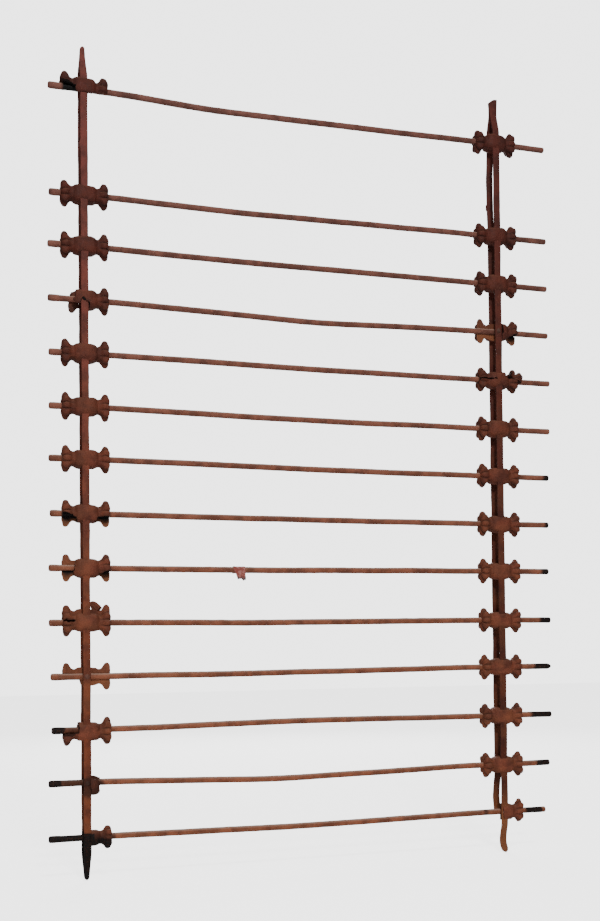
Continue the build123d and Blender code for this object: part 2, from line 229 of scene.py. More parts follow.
# ---- meshes ---------------------------------------------------------------------------------------
def add_piece(
    name: str, points: Array, quads: Array, marks: dict[str, Array], sharp: float = 42.0
) -> bpy.types.Object:
    """Makes one mesh object at the origin from points in millimetres.

    Args:
        name: Name of the piece.
        points: Vertex positions, one row each.
        quads: Corner numbers of each four-sided face, anticlockwise from outside.
        marks: Named values per vertex for the materials.
        sharp: Angle in degrees past which an edge is shaded sharp.

    Returns:
        The new object, in the scene.
    """
    used, renumbered = np.unique(quads, return_inverse=True)
    points, quads = points[used], renumbered.reshape(-1, 4)
    mesh = bpy.data.meshes.new(name)
    mesh.vertices.add(len(points))
    mesh.vertices.foreach_set("co", (points * MM).astype(np.float32).ravel())
    mesh.loops.add(quads.size)
    mesh.loops.foreach_set("vertex_index", quads.astype(np.int32).ravel())
    mesh.polygons.add(len(quads))
    mesh.polygons.foreach_set("loop_start", np.arange(0, quads.size, 4, dtype=np.int32))
    mesh.polygons.foreach_set("use_smooth", np.ones(len(quads), bool))
    for mark, values in marks.items():
        attribute = mesh.attributes.new(mark, "FLOAT", "POINT")
        attribute.data.foreach_set("value", values[used].astype(np.float32))
    mesh.update(calc_edges=True)
    mesh.validate()
    mesh.set_sharp_from_angle(angle=math.radians(sharp))
    piece = bpy.data.objects.new(name, mesh)
    bpy.context.scene.collection.objects.link(piece)
    return piece


def tube_quads(stations: int, sides: int) -> Array:
    """Faces of a tube whose rings are numbered one after the other, with a face fan folded over each end.

    Args:
        stations: Number of rings.
        sides: Points in a ring, an even number.

    Returns:
        Rows of four corner numbers.
    """
    ring, around = np.meshgrid(np.arange(stations - 1), np.arange(sides), indexing="ij")
    after = (around + 1) % sides
    here, beyond = ring * sides, (ring + 1) * sides
    wall = np.stack([here + around, here + after, beyond + after, beyond + around], -1).reshape(-1, 4)
    rung = np.arange(sides // 2 - 1)
    cap = np.stack([rung, sides - 1 - rung, sides - 2 - rung, rung + 1], -1)
    return np.concatenate([wall, cap, cap[:, ::-1] + (stations - 1) * sides])


def shell_quads(kept: Array) -> Array:
    """Faces of a shell over a grid: its outside, its inside and a wall along every open edge.

    The outside's corners come first, numbered row by row, and the inside's follow in the same order.

    Args:
        kept: One truth value for each cell of the grid.

    Returns:
        Rows of four corner numbers.
    """
    rows, columns = kept.shape
    index = np.arange((rows + 1) * (columns + 1)).reshape(rows + 1, columns + 1)
    corners = [index[:-1, :-1], index[1:, :-1], index[1:, 1:], index[:-1, 1:]]
    outside = np.stack([corner[kept] for corner in corners], -1)
    padded = np.pad(kept, 1)
    beyond = [padded[1:-1, :-2], padded[2:, 1:-1], padded[1:-1, 2:], padded[:-2, 1:-1]]
    faces = [outside, outside[:, ::-1] + index.size]
    for turn, neighbour in enumerate(beyond):
        rim = kept & ~neighbour
        first, second = corners[turn][rim], corners[(turn + 1) % 4][rim]
        faces.append(np.stack([second, first, first + index.size, second + index.size], -1))
    return np.concatenate(faces)


def claim(piece: bpy.types.Object, slot: str, material: bpy.types.Material, *nodes: str) -> None:
    """Dresses a piece, gives it its body and hides the CAD nodes that it stands for.

    Args:
        piece: The finished piece.
        slot: The record's material slot; not used.
        material: The material that it wears.
        nodes: CAD nodes that it replaces.
    """
    piece.data.materials.append(material)
    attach(piece, BODY)
    if nodes:
        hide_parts(*nodes)


# ---- where everything is --------------------------------------------------------------------------
@dataclass(frozen=True)
class Places:
    """Where the uprights and the rods are, read from the frame, in millimetres."""

    post_x: dict[Side, float]
    seat_z: dict[Side, tuple[float, ...]]
    rod_tip: dict[Side, tuple[float, ...]]

    @classmethod
    def read(cls) -> "Places":
        """Reads the straps' boxes and the rod ends in the record.

        Returns:
            The places in this frame.
        """
        mounts = {mount["name"]: mount["pos_m"] for mount in frame["record"]["mounts"]}
        post_x, seat_z = {}, {}
        for side in Side:
            low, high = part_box(f"{side.label}_front_strap")
            post_x[side] = (low.x + high.x) / 2 / MM
            ends = [mounts[f"rod_{row:02d}_{side.label}_end"] for row in range(1, ROWS + 1)]
            seat_z[side] = tuple(end[2] / MM for end in ends)
        rods = [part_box(f"rod_{row:02d}") for row in range(1, ROWS + 1)]
        tips = {
            Side.LEFT: tuple(low.x / MM for low, _ in rods),
            Side.RIGHT: tuple(high.x / MM for _, high in rods),
        }
        return cls(post_x, seat_z, tips)


@dataclass(frozen=True)
class Grime:
    """One soft-edged patch of painted shadow near a crossing, on whatever lies behind the front castings'
    skins.
    """

    side: Side
    row: int
    across: tuple[float, float]
    up: tuple[float, float]
    depth: float


# Painted shadow on the rod and on the rear casting, along the lower edges of broken front castings.
PAINTED_SHADOWS = (
    Grime(Side.LEFT, 1, (-42.0, -12.0), (-7.0, 8.0), 1.2),
    Grime(Side.LEFT, 4, (-40.0, -5.0), (-34.0, -7.0), 0.55),
    Grime(Side.LEFT, 8, (-48.0, -15.0), (-8.5, 4.0), 1.3),
    Grime(Side.LEFT, 8, (15.0, 50.0), (-9.0, 1.0), 1.3),
    Grime(Side.LEFT, 9, (-48.0, -16.0), (-9.0, -5.0), 1.2),
    Grime(Side.LEFT, 9, (24.0, 50.0), (-10.0, 0.0), 1.2),
    Grime(Side.LEFT, 12, (-56.0, -14.0), (-9.0, 9.0), 0.5),
    Grime(Side.RIGHT, 4, (16.0, 50.0), (-10.0, -1.0), 1.2),
)


@dataclass(frozen=True)
class Soot:
    """Black burnt deposit on the ends of the lower rods and on the foot of the left upright, and painted
    shadow under broken castings.

    Lengths of blackened rod are measured inwards from the rod's end, by row.
    """

    left: dict[int, float] = field(default_factory=lambda: {12: 27.0, 13: 26.0, 14: 90.0})
    right: dict[int, float] = field(
        default_factory=lambda: {7: 13.0, 8: 11.0, 9: 18.0, 10: 27.0, 11: 47.0, 12: 54.0, 13: 36.0, 14: 54.0}
    )
    reach: float = 9.5  # up and down from a rod
    clean_tip: float = 11.0  # of the right end of the last rod
    clean_slant: float = 0.3  # lean of the clean tip's edge
    stain: tuple[float, float] = (-42.0, 4.5)  # from the right upright, on the last rod, and its half width
    stain_depth: float = 0.8
    singed: float = 78.0  # of the left end of rod 13, dark but not black
    singed_fade: float = 30.0
    singed_depth: float = 0.75
    # Ellipse scorched around the left crossing of rod 13: across, up, half width and half height.
    scorch: tuple[float, float, float, float] = (10.0, -8.0, 26.0, 24.0)
    scorch_depth: float = 0.62
    foot_slope: float = 0.12  # of the burnt edge that crosses the last left collar
    foot_width: float = 60.0  # to the right of the upright
    grime_fade: float = 4.0  # of a patch's ends; its upper and lower edges are four times as sharp
    grime_front: float = -8.0  # Y behind which the painted shadow lies
    deepest: float = 1.3  # past 1 no rust shows through

    def on_rod_ends(self, x: Array, z: Array, wobble: Array, places: Places) -> Array:
        """Ramps inwards from the rod ends, broken by the last rod's clean right tip, and one stain.

        Args:
            x: Positions across.
            z: Heights.
            wobble: Unevenness of the edges.
            places: Where the uprights and rods are.

        Returns:
            One amount per position.
        """
        amount = np.zeros(x.shape)
        for side, lengths in ((Side.LEFT, self.left), (Side.RIGHT, self.right)):
            for row, length in lengths.items():
                inwards = (places.rod_tip[side][row - 1] - x) * side.value + wobble
                near = np.abs(z - places.seat_z[side][row - 1]) < self.reach
                amount = np.maximum(amount, near * smooth_step(length + 5.0, length - 3.0, inwards))
        up = z - places.seat_z[Side.RIGHT][ROWS - 1]
        past = x + self.clean_slant * up - places.rod_tip[Side.RIGHT][ROWS - 1] + self.clean_tip
        last = np.abs(up) < self.reach
        amount *= 1.0 - smooth_step(0.0, 3.0, past) * last
        place, half = self.stain
        spot = bell(places.post_x[Side.RIGHT] + place, half, x) * last
        return np.maximum(amount, self.stain_depth * spot)

    def on_left_foot(self, x: Array, z: Array, wobble: Array, places: Places) -> Array:
        """Dark left end of rod 13, the scorched ellipse at its crossing and the black foot of the upright.

        Args:
            x: Positions across.
            z: Heights.
            wobble: Unevenness of the edges.
            places: Where the uprights and rods are.

        Returns:
            One amount per position.
        """
        out, up = x - places.post_x[Side.LEFT], z - places.seat_z[Side.LEFT][12]
        inwards = x - places.rod_tip[Side.LEFT][12] + wobble
        singed = smooth_step(self.singed + self.singed_fade, self.singed, inwards) * (np.abs(up) < self.reach)
        across, rise, half_width, half_height = self.scorch
        ellipse = np.hypot((out - across) / half_width, (up - rise) / half_height)
        scorched = smooth_step(1.15, 0.8, ellipse)
        beyond = np.clip(out, 0.0, None)
        down = places.seat_z[Side.LEFT][ROWS - 1] - z
        foot = smooth_step(-20.0, 4.0, down - self.foot_slope * beyond + wobble) * (beyond < self.foot_width)
        return np.max([self.singed_depth * singed, self.scorch_depth * scorched, foot], axis=0)

    def under_breaks(self, points: Array, places: Places) -> Array:
        """Patches of painted shadow, each a box with soft edges.

        Args:
            points: Positions.
            places: Where the uprights and rods are.

        Returns:
            One amount per position.
        """
        amount = np.zeros(points.shape[:-1])
        behind = points[..., 1] > self.grime_front
        fade = self.grime_fade
        for patch in PAINTED_SHADOWS:
            out = points[..., 0] - places.post_x[patch.side]
            up = points[..., 2] - places.seat_z[patch.side][patch.row - 1]
            (start, end), (low, high) = patch.across, patch.up
            here = smooth_step(start - fade, start + fade, out) * smooth_step(end + fade, end - fade, out)
            here = here * smooth_step(low - fade / 4, low + fade / 4, up)
            here = here * smooth_step(high + fade / 4, high - fade / 4, up)
            amount = np.maximum(amount, patch.depth * here * behind)
        return amount

    def at(self, points: Array, places: Places) -> Array:
        """Amount of black burnt deposit and of painted shadow.

        Args:
            points: Positions in millimetres.
            places: Where the uprights and rods are.

        Returns:
            One amount per position, from 0 for clean.
        """
        x, z = points[..., 0], points[..., 2]
        wobble = ripple(points, 71, 16.0, 2.0)
        amounts = [
            self.on_rod_ends(x, z, wobble, places),
            self.on_left_foot(x, z, wobble, places),
            self.under_breaks(points, places),
        ]
        return np.clip(np.max(amounts, axis=0), 0.0, self.deepest)


# ---- finishes -------------------------------------------------------------------------------------
Colour = tuple[float, float, float]


def new_group(name: str, inputs: dict[str, object], outputs: dict[str, str]) -> bpy.types.NodeTree:
    """Starts a shader node group with named sockets.

    Args:
        name: Name of the group.
        inputs: Default value by name; its type picks the socket's.
        outputs: Socket type by name.

    Returns:
        The group, with its input and output nodes in place.
    """
    group = bpy.data.node_groups.new(name, "ShaderNodeTree")
    for label, value in inputs.items():
        kind = "NodeSocketFloat" if isinstance(value, float) else "NodeSocketColor"
        if value is None:
            kind = "NodeSocketVector"
        socket = group.interface.new_socket(label, in_out="INPUT", socket_type=kind)
        if isinstance(value, float):
            socket.default_value = value
        elif value is not None:
            socket.default_value = (*value, 1.0)
    for label, kind in outputs.items():
        group.interface.new_socket(label, in_out="OUTPUT", socket_type=kind)
    group.nodes.new("NodeGroupInput")
    group.nodes.new("NodeGroupOutput")
    return group


class Wiring:
    """Short hand for adding and joining nodes in one tree."""

    def __init__(self, tree: bpy.types.NodeTree) -> None:
        """Keeps the tree to work on."""
        self.tree = tree

    def put(self, value: object, socket: bpy.types.NodeSocket) -> None:
        """Links an output socket to a socket, or sets the socket to a plain value.

        Args:
            value: An output socket, a number or a colour.
            socket: The input to feed.
        """
        if isinstance(value, bpy.types.NodeSocket):
            self.tree.links.new(value, socket)
        elif isinstance(value, tuple) and socket.type == "RGBA":
            socket.default_value = (*value, 1.0)
        else:
            socket.default_value = value

    def noise(self, vector: object, scale: float, detail: float, rough: float = 0.55) -> bpy.types.NodeSocket:
        """Noise in metres of Object space.

        Args:
            vector: Coordinates.
            scale: Bumps per metre.
            detail: Octaves.
            rough: How strong the finer octaves are.

        Returns:
            The noise's factor.
        """
        node = self.tree.nodes.new("ShaderNodeTexNoise")
        for label, value in (("Vector", vector), ("Scale", scale), ("Detail", detail), ("Roughness", rough)):
            self.put(value, node.inputs[label])
        return node.outputs["Fac"]

    def ramp(
        self, value: object, low: float, high: float, out_low: float = 0.0, out_high: float = 1.0
    ) -> bpy.types.NodeSocket:
        """Smooth change of a value between two thresholds.

        Args:
            value: Socket to map.
            low: Where the change starts.
            high: Where it ends.
            out_low: Result below low.
            out_high: Result above high.

        Returns:
            The mapped socket.
        """
        node = self.tree.nodes.new("ShaderNodeMapRange")
        node.interpolation_type = "SMOOTHSTEP"
        for slot, given in zip((0, 1, 2, 3, 4), (value, low, high, out_low, out_high)):
            self.put(given, node.inputs[slot])
        return node.outputs[0]

    def mix(self, share: object, first: object, second: object) -> bpy.types.NodeSocket:
        """Mix of two colours.

        Args:
            share: How much of the second.
            first: Colour under.
            second: Colour over.

        Returns:
            The mixed colour.
        """
        node = self.tree.nodes.new("ShaderNodeMix")
        node.data_type = "RGBA"
        for slot, given in ((0, share), (6, first), (7, second)):
            self.put(given, node.inputs[slot])
        return node.outputs[2]

    def math(
        self, kind: str, first: object, second: object = 0.0, third: object = 0.0
    ) -> bpy.types.NodeSocket:
        """One arithmetic step, clamped nowhere.

        Args:
            kind: Blender's name of the operation.
            first: First number.
            second: Second number.
            third: Third number, where the operation has one.

        Returns:
            The result.
        """
        node = self.tree.nodes.new("ShaderNodeMath")
        node.operation = kind
        for slot, given in enumerate((first, second, third)):
            self.put(given, node.inputs[slot])
        return node.outputs[0]


# Bumps per metre of the noises that rust is made of.
PATCHES = 38.0
WARM_PATCHES = 21.0
SCALE = 330.0
PITS = 170.0
SPECKS = 900.0
# Near black for burnt deposit, also used for painted shadow and painted shade.
SOOT_AND_SHADOW_BLACK: Colour = (0.003, 0.0022, 0.0022)


def rust_group() -> bpy.types.NodeTree:
    """Rusted iron that has stood outdoors: patches, fine scale, pits, black deposit darkened further by
    painted shadow, dust with a painted highlight on upward faces, and rust that is still fresh.

    Returns:
        The group, with outputs Colour, Roughness and Height.
    """
    inputs = {
        "Vector": None, "Dark": (0.03, 0.02, 0.02), "Body": (0.1, 0.05, 0.04), "Light": (0.3, 0.2, 0.15),
        "Fresh": (0.4, 0.15, 0.05), "Warmth": 0.0, "Soot": 0.0, "Inside": 0.0, "Patch": 0.5, "Dust": 0.0,
    }
    outputs = {"Colour": "NodeSocketColor", "Roughness": "NodeSocketFloat", "Height": "NodeSocketFloat"}
    group = new_group("rust_scale", inputs, outputs)
    wiring = Wiring(group)
    take, result = group.nodes["Group Input"].outputs, group.nodes["Group Output"]
    patches = wiring.noise(take["Vector"], PATCHES, 3.0)
    scale = wiring.noise(take["Vector"], SCALE, 4.0, 0.65)
    specks = wiring.noise(take["Vector"], SPECKS, 2.0)
    pits = wiring.noise(take["Vector"], PITS, 2.0)
    warm_patches = wiring.noise(take["Vector"], WARM_PATCHES, 2.0)
    dark_share = wiring.ramp(patches, 0.66, 0.34)
    colour = wiring.mix(wiring.math("MULTIPLY", dark_share, take["Patch"]), take["Body"], take["Dark"])
    warm = wiring.math("MULTIPLY", wiring.ramp(warm_patches, 0.4, 0.62), take["Warmth"])
    colour = wiring.mix(warm, colour, take["Fresh"])
    light_share = wiring.math("MULTIPLY", wiring.ramp(scale, 0.56, 0.74), 0.45)
    colour = wiring.mix(light_share, colour, take["Light"])
    colour = wiring.mix(wiring.ramp(specks, 0.58, 0.72, 0.0, 0.35), colour, take["Dark"])
    fresh = wiring.math("MULTIPLY", take["Inside"], wiring.ramp(scale, 0.3, 0.6, 0.45, 1.0))
    colour = wiring.mix(fresh, colour, take["Fresh"])
    # Dust and a painted highlight on upward faces, towards the light colour.
    colour = wiring.mix(take["Dust"], colour, take["Light"])
    # Near black from the soot attribute: burnt deposit, plus painted shadow under broken castings and painted
    # shade on breaks and in grooves.
    burnt = wiring.math("MULTIPLY", take["Soot"], wiring.ramp(scale, 0.75, 0.45, 0.75, 1.0))
    colour = wiring.mix(burnt, colour, SOOT_AND_SHADOW_BLACK)
    rough = wiring.ramp(scale, 0.35, 0.7, 0.62, 0.86)
    height = wiring.math("MULTIPLY_ADD", pits, 1.1, scale)
    height = wiring.math("MULTIPLY_ADD", specks, 0.35, height)
    for label, value in (("Colour", colour), ("Roughness", rough), ("Height", height)):
        wiring.put(value, result.inputs[label])
    return group


@dataclass(frozen=True)
class IronFinish:
    """One finish of rusted iron, cooler and darker towards the top of the grille and warmer lower down."""

    name: str
    top: Colour
    foot: Colour
    dark: Colour = (0.028, 0.010, 0.008)
    light: Colour = (0.30, 0.14, 0.095)
    fresh: Colour = (0.27, 0.095, 0.038)
    warmth: float = 0.25
    patch: float = 0.55
    # Share of the light colour on upward faces: dust, with a painted highlight where light falls from above.
    dust: float = 0.35
    bump: float = 0.35
    relief: float = 0.0012  # in metres
    sheen: float = 0.22

    def build(self, group: bpy.types.NodeTree) -> bpy.types.Material:
        """Makes the material around the rust group.

        Args:
            group: The shared rust group.

        Returns:
            The material.
        """
        material = bpy.data.materials.new(self.name)
        material.use_nodes = True
        wiring, nodes = Wiring(material.node_tree), material.node_tree.nodes
        shader = nodes["Principled BSDF"]
        coordinates = nodes.new("ShaderNodeTexCoord").outputs["Object"]
        split = nodes.new("ShaderNodeSeparateXYZ")
        wiring.put(coordinates, split.inputs[0])
        height_share = wiring.ramp(split.outputs["Z"], 0.75, -0.75)
        body = wiring.mix(height_share, self.top, self.foot)
        facing = nodes.new("ShaderNodeSeparateXYZ")
        wiring.put(nodes.new("ShaderNodeNewGeometry").outputs["Normal"], facing.inputs[0])
        # Upward faces mixed towards the light colour: dust and a painted highlight from the light above.
        upward_dust_and_highlight = wiring.ramp(facing.outputs["Z"], 0.25, 0.95, 0.0, self.dust)
        rust = nodes.new("ShaderNodeGroup")
        rust.node_tree = group
        marks = {}
        for mark in ("soot", "inside"):
            attribute = nodes.new("ShaderNodeAttribute")
            attribute.attribute_name = mark
            marks[mark] = attribute.outputs["Fac"]
        values = {
            "Vector": coordinates, "Dark": self.dark, "Body": body, "Light": self.light, "Fresh": self.fresh,
            "Warmth": wiring.math("MULTIPLY", height_share, self.warmth), "Soot": marks["soot"],
            "Inside": marks["inside"], "Patch": self.patch, "Dust": upward_dust_and_highlight,
        }
        for label, value in values.items():
            wiring.put(value, rust.inputs[label])
        bump = nodes.new("ShaderNodeBump")
        bump.inputs["Strength"].default_value = self.bump
        bump.inputs["Distance"].default_value = self.relief
        wiring.put(rust.outputs["Height"], bump.inputs["Height"])
        wiring.put(rust.outputs["Colour"], shader.inputs["Base Color"])
        wiring.put(rust.outputs["Roughness"], shader.inputs["Roughness"])
        wiring.put(bump.outputs["Normal"], shader.inputs["Normal"])
        shader.inputs["Specular IOR Level"].default_value = self.sheen
        return material


FINISHES = {
    "rod": IronFinish(
        "rod_rust", top=(0.19, 0.073, 0.054), foot=(0.33, 0.105, 0.053), light=(0.45, 0.29, 0.22), dust=0.75
    ),
    "left strap": IronFinish("left_strap_rust", top=(0.16, 0.038, 0.029), foot=(0.19, 0.045, 0.018)),
    "right strap": IronFinish("right_strap_rust", top=(0.093, 0.02, 0.014), foot=(0.085, 0.018, 0.0075)),
    "rivet": IronFinish("rivet_rust", top=(0.16, 0.07, 0.05), foot=(0.2, 0.085, 0.06)),
    "front casting": IronFinish(
        "front_casting_rust", top=(0.08, 0.0165, 0.0105), foot=(0.215, 0.058, 0.03), light=(0.24, 0.11, 0.07)
    ),
    "rear casting": IronFinish(
        "rear_casting_rust", top=(0.09, 0.02, 0.013), foot=(0.21, 0.06, 0.032), light=(0.24, 0.115, 0.07)
    ),
}


@dataclass(frozen=True)
class ClothFinish:
    """Faded red cotton, paler in patches, with a painted highlight where it lies over the top of the rod, and
    grey with dirt along its torn edge.
    """

    name: str = "faded_red_cotton"
    red: Colour = (0.27, 0.06, 0.045)
    pale: Colour = (0.6, 0.3, 0.26)
    dirt: Colour = (0.07, 0.06, 0.06)

    def build(self) -> bpy.types.Material:
        """Makes the cloth material, with a fine plain weave along the piece's own UV map.

        Returns:
            The material.
        """
        material = bpy.data.materials.new(self.name)
        material.use_nodes = True
        wiring, nodes = Wiring(material.node_tree), material.node_tree.nodes
        shader = nodes["Principled BSDF"]
        coordinates = nodes.new("ShaderNodeTexCoord")
        fade = wiring.noise(coordinates.outputs["Object"], 130.0, 3.0)
        attribute = {}
        for mark in ("crest", "dirt"):
            node = nodes.new("ShaderNodeAttribute")
            node.attribute_name = mark
            attribute[mark] = node.outputs["Fac"]
        colour = wiring.mix(wiring.ramp(fade, 0.45, 0.65, 0.0, 0.5), self.red, self.pale)
        # Painted highlight where the cloth lies over the top of the rod.
        colour = wiring.mix(attribute["crest"], colour, self.pale)
        colour = wiring.mix(attribute["dirt"], colour, self.dirt)
        weave = nodes.new("ShaderNodeTexWave")
        weave.inputs["Scale"].default_value = 30.0
        wiring.put(coordinates.outputs["UV"], weave.inputs["Vector"])
        bump = nodes.new("ShaderNodeBump")
        bump.inputs["Strength"].default_value = 0.2
        bump.inputs["Distance"].default_value = 0.0003
        wiring.put(weave.outputs["Fac"], bump.inputs["Height"])
        wiring.put(bump.outputs["Normal"], shader.inputs["Normal"])
        wiring.put(colour, shader.inputs["Base Color"])
        shader.inputs["Roughness"].default_value = 0.9
        return material


# ---- rods -----------------------------------------------------------------------------------------
# Share of the span where each rod sags most, and by how much.
SAGS = (
    (0.30, -8.5), (0.30, -4.5), (0.35, -2.5), (0.52, -10.0), (0.60, -1.5), (0.50, -3.0), (0.60, -2.0),
    (0.50, -0.8), (0.30, -1.5), (0.38, -2.0), (0.40, -1.5), (0.50, 4.5), (0.42, -10.0), (0.50, -4.0),
)


@dataclass
class Rods:
    """The fourteen round rods that lie across the window."""

    places: Places
    soot: Soot
    material: bpy.types.Material
    radius: float = 6.5
    chamfer: float = 2.0
    kink: float = 77.0  # straight stretch each side of an upright
    blur: float = 38.0  # how far a bend is spread along the rod
    waver: float = 0.3
    swelling: float = 0.7  # of the left ends
    pointed: int = 11  # the rod whose right end is drawn to a point
    sides: int = 28
    step: float = 3.0

    def height_at(self, row: int, x: Array) -> Array:
        """Height of a rod's centre line: straight through both collars, with one long sag between them.

        Args:
            row: Number of the rod, from 1.
            x: Positions along it.

        Returns:
            Heights in millimetres.
        """
        left, right = (self.places.seat_z[side][row - 1] for side in Side)
        left_x, right_x = (self.places.post_x[side] for side in Side)
        share, sag = SAGS[row - 1]
        middle = (left_x + share * (right_x - left_x), left + share * (right - left) + sag)
        corners = [(left_x - self.kink, left), (left_x + self.kink, left), middle]
        corners += [(right_x - self.kink, right), (right_x + self.kink, right)]
        return softened(np.array(corners), x, self.blur)

    def surface(self, row: int) -> Array:
        """Rings of a rod: a circle carried along its centre line, with scale, dents and chamfered ends.

        Args:
            row: Number of the rod, from 1.

        Returns:
            Positions by ring and by place in the ring.
        """
        low, high = (corner.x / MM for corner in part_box(f"rod_{row:02d}"))
        inner = np.linspace(low + self.chamfer, high - self.chamfer, int((high - low) / self.step))
        x = np.concatenate([[low, low + self.chamfer / 3], inner, [high - self.chamfer / 3, high]])
        ends = np.minimum(x - low, high - x)
        radius = self.radius - self.chamfer * (1.0 - np.clip(ends / self.chamfer, 0.0, 1.0)) ** 2
        radius += self.swelling * bell(low + 12.0, 9.0, x) * (ends >= self.chamfer)
        if row == self.pointed:
            radius *= np.sqrt(np.clip((high - x) / 9.0, 0.02, 1.0))
        line = np.stack([x, np.zeros_like(x), self.height_at(row, x)], -1)
        line[:, 1] += ripple(line, 100 + row, 230.0, self.waver)
        line[:, 2] += ripple(line, 140 + row, 190.0, self.waver)
        along = np.gradient(line, axis=0)
        along /= np.linalg.norm(along, axis=1, keepdims=True)
        up = np.cross(along, [0.0, 1.0, 0.0])
        angle = np.linspace(0.0, 2.0 * math.pi, self.sides, endpoint=False)
        turn = angle[None, :, None]
        outwards = np.cos(turn) * np.array([0.0, 1.0, 0.0]) - np.sin(turn) * up[:, None]
        skin = line[:, None] + radius[:, None, None] * outwards
        scale = ripple(skin, 180 + row, 24.0, 0.12) + ripple(skin, 220 + row, 5.0, 0.04)
        return skin + (scale * np.clip(ends / self.chamfer, 0.0, 1.0)[:, None])[..., None] * outwards

    def build(self) -> None:
        """Makes every rod in place of its CAD node."""
        for row in range(1, ROWS + 1):
            skin = self.surface(row)
            points = skin.reshape(-1, 3)
            marks = {"soot": self.soot.at(points, self.places)}
            name = f"rod_{row:02d}"
            piece = add_piece(f"{name}_iron", points, tube_quads(*skin.shape[:2]), marks)
            claim(piece, "rod_iron", self.material, name)
        LOG.info("%d rods", ROWS)


# ---- uprights -------------------------------------------------------------------------------------
# How dark the grime on a rivet's heads is, where it isn't hidden or clean.
GRIMY_HEADS = {(Side.LEFT, 4): 1.2, (Side.LEFT, 13): 0.8, (Side.LEFT, 14): 1.0, (Side.RIGHT, 4): 0.5}


